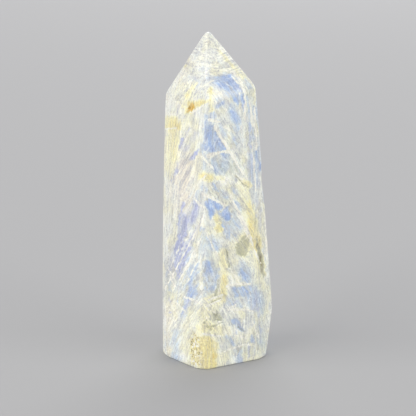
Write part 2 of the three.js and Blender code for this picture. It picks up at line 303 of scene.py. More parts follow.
@dataclass(frozen=True)
class StoneForm:
    """The stone's skin as a closed grid of rows and columns.

    Attributes:
        columns: Columns round the stone.
        body_rows: Rows from the foot to the shoulder.
        crown_rows: Rows from the shoulder to the tip's fan.
        tip_rows: Rows up the tip's fan.
        tip_start: How far above the fan's own point those rows start.
        tip_in: Share of the way out to the skin of each row over the flat tip.
        crispness: Sharpness of the rounded meeting of planes, per millimetre.
        newton_steps: Steps that bring a ray's end onto the rounded skin.
        halvings: Steps that find the shoulder.
        shoulder_range: Heights that it is looked for between.
        foot_height: Height of the point that the foot's rows are drawn from.
        tip_height: Height of the point that the tip's rows are drawn from.
        foot_out: Share of the way out to the skin of each row under the foot.
        foot_rise: Heights of the rows that follow, round the foot's edge.
        least_turn: Least angle between two columns, in degrees.
        ripple: Height and wavelength of the faint waviness that polishing leaves.
        unevenness: Share by which a loss's depth varies, and that wavelength.
        edge_blend: How far the blended normal falls short of one on a full edge.
        clearance: Gap kept inside the solid's box.
    """

    columns: int = 284
    body_rows: int = 250
    crown_rows: int = 45
    tip_rows: int = 19
    tip_start: float = 0.25
    tip_in: tuple[float, ...] = (0.75, 0.5, 0.25)
    crispness: float = 4.6
    newton_steps: int = 9
    halvings: int = 24
    shoulder_range: tuple[float, float] = (50.0, 88.0)
    foot_height: float = 2.5
    tip_height: float = 84.0
    foot_out: tuple[float, ...] = (0.15, 0.35, 0.6, 0.8, 0.92, 0.965, 0.985, 1.0)
    foot_rise: tuple[float, ...] = (0.08, 0.2, 0.4, 0.65, 1.0, 1.4, 1.8, 2.2)
    least_turn: float = 0.03
    ripple: tuple[float, float] = (0.012, 9.0)
    unevenness: tuple[float, float] = (0.25, 3.0)
    edge_blend: float = 0.07
    clearance: float = 0.01

    def planes(self) -> dict[str, Plane]:
        """Collects the planes that hold the stone.

        Returns:
            Every plane by name, the ground and the blunted tip too.
        """
        planes = {name: face.plane() for name, face in {**BODY_FACES, **CROWN_FACES}.items()}
        planes["ground"] = Plane(np.array([0.0, 0.0, -1.0]), 0.0)
        planes["tip"] = Plane(np.array([0.0, 0.0, 1.0]), STONE_HEIGHT)
        return planes

    def corner(self, pair: tuple[str, str], heights: np.ndarray) -> np.ndarray:
        """Where two sides meet at each height, by the two planes' equations.

        Args:
            pair: Names of the two sides.
            heights: Heights, in millimetres.

        Returns:
            Rows of x and y.
        """
        first, second = (BODY_FACES[name].plane() for name in pair)
        matrix = np.array([first.normal[:2], second.normal[:2]])
        right = np.stack([first.distance - first.normal[2] * heights,
                          second.distance - second.normal[2] * heights])
        return np.linalg.solve(matrix, right).T

    def column_shares(self) -> list[np.ndarray]:
        """Shares out the columns between neighbouring corners by chord length.

        Returns:
            For each corner, the shares of the way to the next one.
        """
        middle = np.array([0.5 * SHOULDER_TOP])
        ring = np.concatenate([self.corner(pair, middle) for pair in CORNERS])
        chords = np.linalg.norm(np.roll(ring, -1, axis=0) - ring, axis=1)
        ends = np.round(np.cumsum(chords) / chords.sum() * self.columns).astype(int)
        counts = np.diff(np.concatenate([[0], ends]))
        return [np.arange(count) / count for count in counts]

    def bearings(self, heights: np.ndarray) -> np.ndarray:
        """Directions from the stone's axis to each column at each height.

        A column runs through the point that divides the chord between two
        neighbouring corners in its own share, so columns follow the corners.
        Above the end of a narrow face its two corners have crossed: sorting the
        columns by turn, and keeping a least turn between them, unfolds them.

        Args:
            heights: Heights of shape rows, or rows by columns.

        Returns:
            Unit x and y, of shape rows, columns, 2.
        """
        level = np.minimum(heights, SHOULDER_TOP)
        if level.ndim == 1:
            level = np.repeat(level[:, None], self.columns, axis=1)
        corners = np.stack([self.corner(pair, level.ravel()).reshape(*level.shape, 2)
                            for pair in CORNERS])
        shares = self.column_shares()
        start = np.repeat(np.arange(len(CORNERS)), [len(share) for share in shares])
        share = np.concatenate(shares)[None, :, None]
        column = np.arange(self.columns)
        here = corners[start, :, column].transpose(1, 0, 2)
        there = corners[(start + 1) % len(CORNERS), :, column].transpose(1, 0, 2)
        way = here * (1.0 - share) + there * share - SHARP_TIP[:2]
        turn = np.sort(np.unwrap(np.arctan2(way[..., 0], -way[..., 1]), axis=1), axis=1)
        least = math.radians(self.least_turn) * column
        turn = np.maximum.accumulate(turn - least, axis=1) + least
        return np.stack([np.sin(turn), -np.cos(turn)], axis=2)

    def reach(self, origins: np.ndarray, rays: np.ndarray, planes: list[Plane],
              steps: int = 0) -> np.ndarray:
        """Follows rays out to the skin.

        The sharp skin is the nearest plane met. The rounded skin, where
        (1/k) ln(sum of exp(k (n . p - d))) over all planes is zero, lies a
        little inside it, and Newton steps lead there.

        Args:
            origins: Rows of points inside the stone.
            rays: Rows of directions.
            planes: Planes of the stone.
            steps: Newton steps, none for the sharp skin.

        Returns:
            Length of each ray.
        """
        normals = np.array([plane.normal for plane in planes])
        gaps = np.array([plane.distance for plane in planes]) - origins @ normals.T
        speed = rays @ normals.T
        length = np.where(speed > TINY, gaps / np.maximum(speed, TINY), np.inf).min(axis=1)
        for _ in range(steps):
            power = self.crispness * (length[:, None] * speed - gaps)
            top = power.max(axis=1, keepdims=True)
            weight = np.exp(power - top)
            total = weight.sum(axis=1, keepdims=True)
            value = (top + np.log(total))[:, 0] / self.crispness
            slope = (weight * speed).sum(axis=1) / total[:, 0]
            length = length - value / slope
        return length

    def shoulder(self, bearing: np.ndarray) -> np.ndarray:
        """Height at which each column passes from the body to the crown.

        Args:
            bearing: Unit x and y of each column.

        Returns:
            One height per column, found by halving the interval.
        """
        body = [face.plane() for face in BODY_FACES.values()]
        crown = [face.plane() for face in CROWN_FACES.values()]
        low, high = (np.full(self.columns, end) for end in self.shoulder_range)
        rays = np.column_stack([bearing, np.zeros(self.columns)])
        for _ in range(self.halvings):
            middle = 0.5 * (low + high)
            origins = np.column_stack([np.tile(SHARP_TIP[:2], (self.columns, 1)), middle])
            inside = self.reach(origins, rays, body) < self.reach(origins, rays, crown)
            low, high = np.where(inside, middle, low), np.where(inside, high, middle)
        return 0.5 * (low + high)

    def rays(self) -> tuple[np.ndarray, np.ndarray]:
        """Lays out the ray of every grid point, from the foot's middle to the tip.

        Returns:
            Origins and directions, of shape rows, columns, 3.
        """
        shoulder = self.shoulder(self.bearings(np.array([SHOULDER_TOP]))[0])
        share = np.linspace(0.0, 1.0, self.body_rows + 1)[:, None]
        body = self.foot_height + (shoulder - self.foot_height) * share
        share = np.linspace(0.0, 1.0, self.crown_rows + 1)[1:, None]
        crown = shoulder + (self.tip_height - shoulder) * share
        heights = np.concatenate([body, crown])
        level = np.concatenate([self.bearings(heights), np.zeros((*heights.shape, 1))],
                               axis=2)
        axis = np.broadcast_to(SHARP_TIP[:2], (*heights.shape, 2))
        origins = np.concatenate([axis, heights[..., None]], axis=2)

        out = np.array(self.foot_out + (1.0,) * len(self.foot_rise))
        rise = np.array((0.0,) * len(self.foot_out) + self.foot_rise)
        foot_origins, foot_rays = self.fan(self.foot_height, out, rise, 0.0)
        out = np.concatenate([np.ones(self.tip_rows), self.tip_in])
        low = self.tip_height + self.tip_start
        rise = np.concatenate([np.linspace(low, STONE_HEIGHT, self.tip_rows),
                               np.full(len(self.tip_in), STONE_HEIGHT)])
        tip_origins, tip_rays = self.fan(self.tip_height, out, rise, STONE_HEIGHT)
        return (np.concatenate([foot_origins, origins, tip_origins]),
                np.concatenate([foot_rays, level, tip_rays]))

    def fan(self, height: float, out: np.ndarray, rise: np.ndarray,
            end: float) -> tuple[np.ndarray, np.ndarray]:
        """Rays from one point of the axis, aimed at places on the sharp skin.

        Args:
            height: Height of that point.
            out: Share of the way from the axis to the skin, for each row.
            rise: Height aimed at, for each row.
            end: Height of the flat end, which sets the skin for shares under 1.

        Returns:
            Origins and directions, of shape rows, columns, 3.
        """
        planes = [face.plane() for face in (*BODY_FACES.values(), *CROWN_FACES.values())]
        shape = (len(rise), self.columns, 3)
        starts = np.broadcast_to(SHARP_TIP, shape).copy()
        starts[..., 2] = np.where(out < 1.0, end, rise)[:, None]
        level = np.concatenate([self.bearings(rise), np.zeros((*shape[:2], 1))], axis=2)
        skin = self.reach(starts.reshape(-1, 3), level.reshape(-1, 3), planes)
        aim = starts + level * (skin.reshape(shape[:2]) * out[:, None])[..., None]
        aim[..., 2] = rise[:, None]
        origins = np.broadcast_to(SHARP_TIP, shape).copy()
        origins[..., 2] = height
        return origins, unit(aim - origins)

    def press(self, points: np.ndarray, planes: dict[str, Plane]) -> np.ndarray:
        """Presses the losses into their faces.

        A point that lies less deep under a face's plane than the loss there is
        moved inwards along the plane's normal until it lies that deep.

        Args:
            points: Rows of points on the skin.
            planes: Planes of the stone by name.

        Returns:
            The moved points.
        """
        turns = {name: face.turn for name, face in {**BODY_FACES, **CROWN_FACES}.items()}
        amount, wavelength = self.unevenness
        for loss in FLUTES + HOLLOWS + LEDGES + SLITS:
            plane, turn = planes[loss.face], math.radians(turns[loss.face])
            along = points[:, 0] * math.cos(turn) + points[:, 1] * math.sin(turn)
            uneven = 1.0 + amount * wander(points, wavelength, LOSS_SEED)
            wanted = loss.depth(along, points[:, 2]) * uneven
            buried = plane.distance - points @ plane.normal
            points = points - plane.normal * np.maximum(wanted - buried, 0.0)[:, None]
        return points

    def blend(self, points: np.ndarray,
              planes: list[Plane]) -> tuple[np.ndarray, np.ndarray]:
        """Blends the planes' normals at each point, by weights exp(k (n . p - d)).

        Where one plane rules, the blend is its normal, of length one. Between
        planes it is shorter, which tells how near an edge is.

        Args:
            points: Rows of points on the rounded skin.
            planes: Planes of the stone.

        Returns:
            Outward unit normals, and 0 to 1 per point, 1 on a full edge.
        """
        normals = np.array([plane.normal for plane in planes])
        gaps = points @ normals.T - np.array([plane.distance for plane in planes])
        weight = np.exp(self.crispness * gaps)
        blend = (weight @ normals) / weight.sum(axis=1, keepdims=True)
        short = (1.0 - np.linalg.norm(blend, axis=1)) / self.edge_blend
        return unit(blend), np.clip(short, 0.0, 1.0)

    def skin(self) -> tuple[np.ndarray, np.ndarray, np.ndarray]:
        """Works out the skin: rays out to it, losses pressed in, and a faint ripple.

        The ripple moves a point along its normal by height * wander * (1 - up^4),
        up being the normal's rise, so that the two ends stay level.

        Returns:
            Points in millimetres, grid rows first and the two poles last,
            outward normals of the unbroken faces, and how near an edge each is.
        """
        planes = self.planes()
        origins, rays = self.rays()
        poles = np.array([[*SHARP_TIP[:2], self.foot_height],
                          [*SHARP_TIP[:2], self.tip_height]])
        origins = np.concatenate([origins.reshape(-1, 3), poles])
        rays = np.concatenate([rays.reshape(-1, 3), [[0.0, 0.0, -1.0], [0.0, 0.0, 1.0]]])
        every = list(planes.values())
        points = origins + rays * self.reach(origins, rays, every, self.newton_steps)[:, None]
        outward, edge = self.blend(points, every)
        points = self.press(points, planes)
        height, wavelength = self.ripple
        faint = height * wander(points, wavelength, RIPPLE_SEED)[:, None]
        points = points + outward * faint * (1.0 - np.abs(outward[:, 2:]) ** 4)
        return points, outward, edge

    def faces(self, count: int) -> list[list[int]]:
        """Joins neighbouring points of the grid, and both ends to their poles.

        Args:
            count: How many points the skin has.

        Returns:
            Point numbers of each square, and of the triangles at the poles.
        """
        rows = (count - 2) // self.columns
        number = np.arange(rows * self.columns).reshape(rows, self.columns)
        beside = np.roll(number, -1, axis=1)
        quads = np.stack([number[:-1], beside[:-1], beside[1:], number[1:]], axis=2)
        foot, tip = np.full(self.columns, count - 2), np.full(self.columns, count - 1)
        under = np.stack([foot, beside[0], number[0]], axis=1)
        over = np.stack([number[-1], beside[-1], tip], axis=1)
        return quads.reshape(-1, 4).tolist() + under.tolist() + over.tolist()

    def fit(self, points: np.ndarray, low: Vector, high: Vector) -> np.ndarray:
        """Settles the skin into the solid's own box, axis by axis.

        Args:
            points: Rows of points, in millimetres.
            low: Lowest corner of the solid, in metres.
            high: Highest corner of the solid, in metres.

        Returns:
            Rows of points, in metres.
        """
        gap = np.array([self.clearance, self.clearance, 0.0]) * MM
        floor, ceiling = np.array(low) + gap, np.array(high) - gap
        share = (points - points.min(axis=0)) / np.ptp(points, axis=0)
        return floor + share * (ceiling - floor)


class Side(Enum):
    """Which way a mark is drawn onto the stone."""

    FRONT = "front"
    BACK = "back"
    LEFT = "left"


class Tint(Enum):
    """What a mark lays down; the value names its layer on the mesh."""

    BLUE = "blue"
    VIOLET = "violet"
    GOLD = "gold"
    SMOKE = "smoke"
    PINK = "pink"
    ROUGH = "rough"
    VEIN = "vein"
    # Dark lines painted along cracks and chips: painted shade inside them.
    CRACK_SHADE = "crack_shade"


LINE_TINTS = (Tint.VEIN, Tint.CRACK_SHADE)


@dataclass(frozen=True)
class Streak:
    """A blade-shaped mark: a stroke whose half width runs from one end to the other.

    Attributes:
        tint: What it lays down.
        start: Where it starts, in millimetres on its sheet.
        end: Where it ends.
        wide: Half width at the start.
        wide_end: Half width at the end.
        strength: How much of the tint it lays down.
        blur: Width of its soft edge.
        bulge: Half width added at the middle.
    """

    tint: Tint
    start: Place
    end: Place
    wide: float
    wide_end: float
    strength: float = 1.0
    blur: float = 0.6
    bulge: float = 0.0

    def outside(self, places: np.ndarray) -> np.ndarray:
        """Distance from the stroke's edge: to the nearest point, less the width there.

        Args:
            places: Rows of places on the sheet.

        Returns:
            Distance, negative inside.
        """
        start, way = np.array(self.start), np.subtract(self.end, self.start)
        share = np.clip((places - start) @ way / (way @ way), 0.0, 1.0)
        width = self.wide + (self.wide_end - self.wide) * share
        width = width + self.bulge * 4.0 * share * (1.0 - share)
        nearest = start + share[:, None] * way
        return np.linalg.norm(places - nearest, axis=1) - width


@dataclass(frozen=True)
class Blot:
    """A mark with straight sides: the inside of a ring of corners, bulging outwards.

    Attributes:
        tint: What it lays down.
        corners: Its corners in order, in millimetres on its sheet.
        strength: How much of the tint it lays down.
        blur: Width of its soft edge.
    """

    tint: Tint
    corners: tuple[Place, ...]
    strength: float
    blur: float

    def outside(self, places: np.ndarray) -> np.ndarray:
        """Distance outside the ring: the greatest distance beyond any side.

        Args:
            places: Rows of places on the sheet.

        Returns:
            Distance, negative inside.
        """
        ring = np.array(self.corners)
        way = np.roll(ring, -1, axis=0) - ring
        normal = unit(np.column_stack([way[:, 1], -way[:, 0]]))
        turned = np.sign(((ring - ring.mean(axis=0)) * normal).sum(axis=1))
        normal = normal * turned[:, None]
        return (places @ normal.T - (ring * normal).sum(axis=1)).max(axis=1)


Marks = tuple[Union[Streak, Blot], ...]


def streaks(tint: Tint, *rows: tuple[float, ...]) -> tuple[Streak, ...]:
    """Makes streaks of one tint.

    Args:
        tint: What they lay down.
        rows: For each, right and up at its start and at its end, the half widths
            there, and where they aren't the usual ones, strength, blur and bulge.

    Returns:
        The streaks.
    """
    return tuple(Streak(tint, row[:2], row[2:4], *row[4:]) for row in rows)


def blots(corners: tuple[Place, ...], *coats: tuple[Tint, float, float]) -> tuple[Blot, ...]:
    """Returns the same blot in several tints, each with its strength and blur."""
    return tuple(Blot(tint, corners, strength, blur) for tint, strength, blur in coats)


# Broad faint marks of the front, under its sharper ones.
WASHES: Marks = (
    *streaks(Tint.BLUE, (8.2, 74, 10, 66, 1, 1.2, 0.22, 2), (10, 66, 10.6, 48, 1.5, 1.6, 0.32, 2.4),
             (5.4, 69.6, 7.4, 57, 2.2, 1.8, 0.16, 3), (-2.6, 56, -2.8, 51, 1.6, 1.6, 0.16, 2.4),
             (-2, 52.4, 6.6, 51.4, 2, 2.4, 0.16, 3), (-0.6, 74.6, 2, 74, 1.6, 1.6, 0.16, 2.4),
             (2.2, 75.6, 4.4, 73.4, 0.2, 0.4, 0.3, 0.6), (-4.6, 44, 7.4, 42, 2.2, 2.8, 0.18, 3.6),
             (-4, 40, 6.2, 38.6, 1.8, 2.2, 0.12, 3.6), (3, 37, 7, 36, 1.8, 1.8, 0.2, 3),
             (-3.8, 33, 4.8, 31, 1.6, 2, 0.16, 3), (-8.4, 28, -10, 16, 1.2, 1.2, 0.18, 2.4),
             (4.8, 24.6, 9.4, 22.8, 2, 2.4, 0.18, 3), (4.4, 17.6, 10.6, 16.4, 1.8, 2.6, 0.28, 3),
             (10.8, 19.6, 12, 5, 1.8, 1.2, 0.26, 2.4), (3.6, 5.6, 10, 4, 1.8, 2.4, 0.16, 3),
             (-11, 6.6, -11, -0.6, 1.8, 1.8, 0.1, 2.4)),
    *streaks(Tint.VIOLET, (-8.6, 56, -10.2, 51.6, 1.2, 1.2, 0.2, 2.4),
             (4.6, 75.4, 7.4, 71.6, 0.9, 0.6, 0.2, 1.2), (3.2, 75.2, 6.7, 72, 0.15, 0.25, 0.4, 0.5),
             (11, 43, 11.4, 36, 0.9, 0.9, 0.14, 2), (-4.4, 60, -8, 54.8, 1.6, 1.6, 0.14, 2.6),
             (-5.4, 42, -10.6, 24, 2.4, 2.2, 0.3, 3), (-10.6, 43, -11.6, 34, 0.5, 0.7, 0.2, 1.4),
             (-9.2, 41, -10.4, 20, 1.4, 2.2, 0.2, 2.6), (-12.6, 30, -12.6, 16, 1, 1.2, 0.24, 1.8)),
    *streaks(Tint.GOLD, (-5.4, 76, -6.6, 71, 1.6, 1.6, 0.1, 2.6),
             (-6.2, 70.4, -1.4, 71.2, 1.2, 1.4, 0.1, 2.4), (-13, 58, -12.4, 50, 1.2, 1.2, 0.12, 2.2),
             (-5, 50, 1, 49.4, 1.4, 1.4, 0.12, 2.2), (-11.6, 62, -11.8, 48, 1.6, 1.6, 0.1, 2.6),
             (6.4, 47.4, 10.6, 32, 1.4, 2.4, 0.2, 2.6), (7.6, 32, 12.4, 20, 1.8, 2, 0.2, 2.8),
             (3, 30, 2, 16, 1.6, 1.4, 0.14, 2.4), (-11, 66, -10.8, 52, 1.8, 1.6, 0.1, 2.6),
             (-1.2, 16, -0.6, 9.6, 2.2, 2.4, 0.22, 2.6), (-4.4, 4.4, -3.4, -2.2, 3, 3.4, 0.2, 2.6),
             (-6, 13, -6.4, 9.4, 1.4, 1.4, 0.1, 2.2)),
    *streaks(Tint.SMOKE, (-7.5, 78.6, -6, 76.2, 1.2, 1.6, 0.2, 3), (7.6, 76, 10.2, 71, 0.9, 1.2, 0.3, 2),
             (10.4, 66, 11.4, 46, 1.5, 1.8, 0.16, 2.4), (7.4, 62, 7.8, 54, 1.4, 1.4, 0.14, 2.4),
             (-1.5, 52.4, 6.6, 50.4, 1.8, 2.4, 0.2, 3), (11, 43, 11.4, 36, 1, 1, 0.12, 2),
             (1, 74.6, 7.6, 72, 1.4, 1.4, 0.2, 2.4), (-4.4, 60, -8, 54.8, 1.6, 1.8, 0.1, 2.6),
             (-9.8, 38, -11.6, 18, 1.8, 2.4, 0.2, 2.6), (4.8, 24.6, 9.4, 22.8, 1.8, 2.4, 0.14, 3),
             (10.8, 19.6, 12.2, 4, 1.8, 1.6, 0.2, 2.4), (3.4, 12, 8.4, 11.4, 1.2, 1.6, 0.2, 2.6),
             (2.4, 6, 9.6, 4.6, 1.8, 2.8, 0.18, 3), (-6, 13, -6.4, 9.4, 1.4, 1.4, 0.12, 2.2),
             (6.8, 1.6, 11.8, 1.2, 1.4, 1.4, 0.2, 2.4), (-12.8, 26, -12.8, 17, 1, 1.2, 0.16, 1.8),
             (13.4, 21, 13.6, 4, 0.9, 0.9, 0.2, 1.6)),
    *streaks(Tint.PINK, (-9, 54, -9, 42, 3.4, 3.4, 0.4, 3.4)),
    *streaks(Tint.VEIN, (2.8, 74, 4.6, 72.6, 0.06, 0.1), (4.4, 75.6, 6.2, 73.8, 0.06, 0.1)),
)

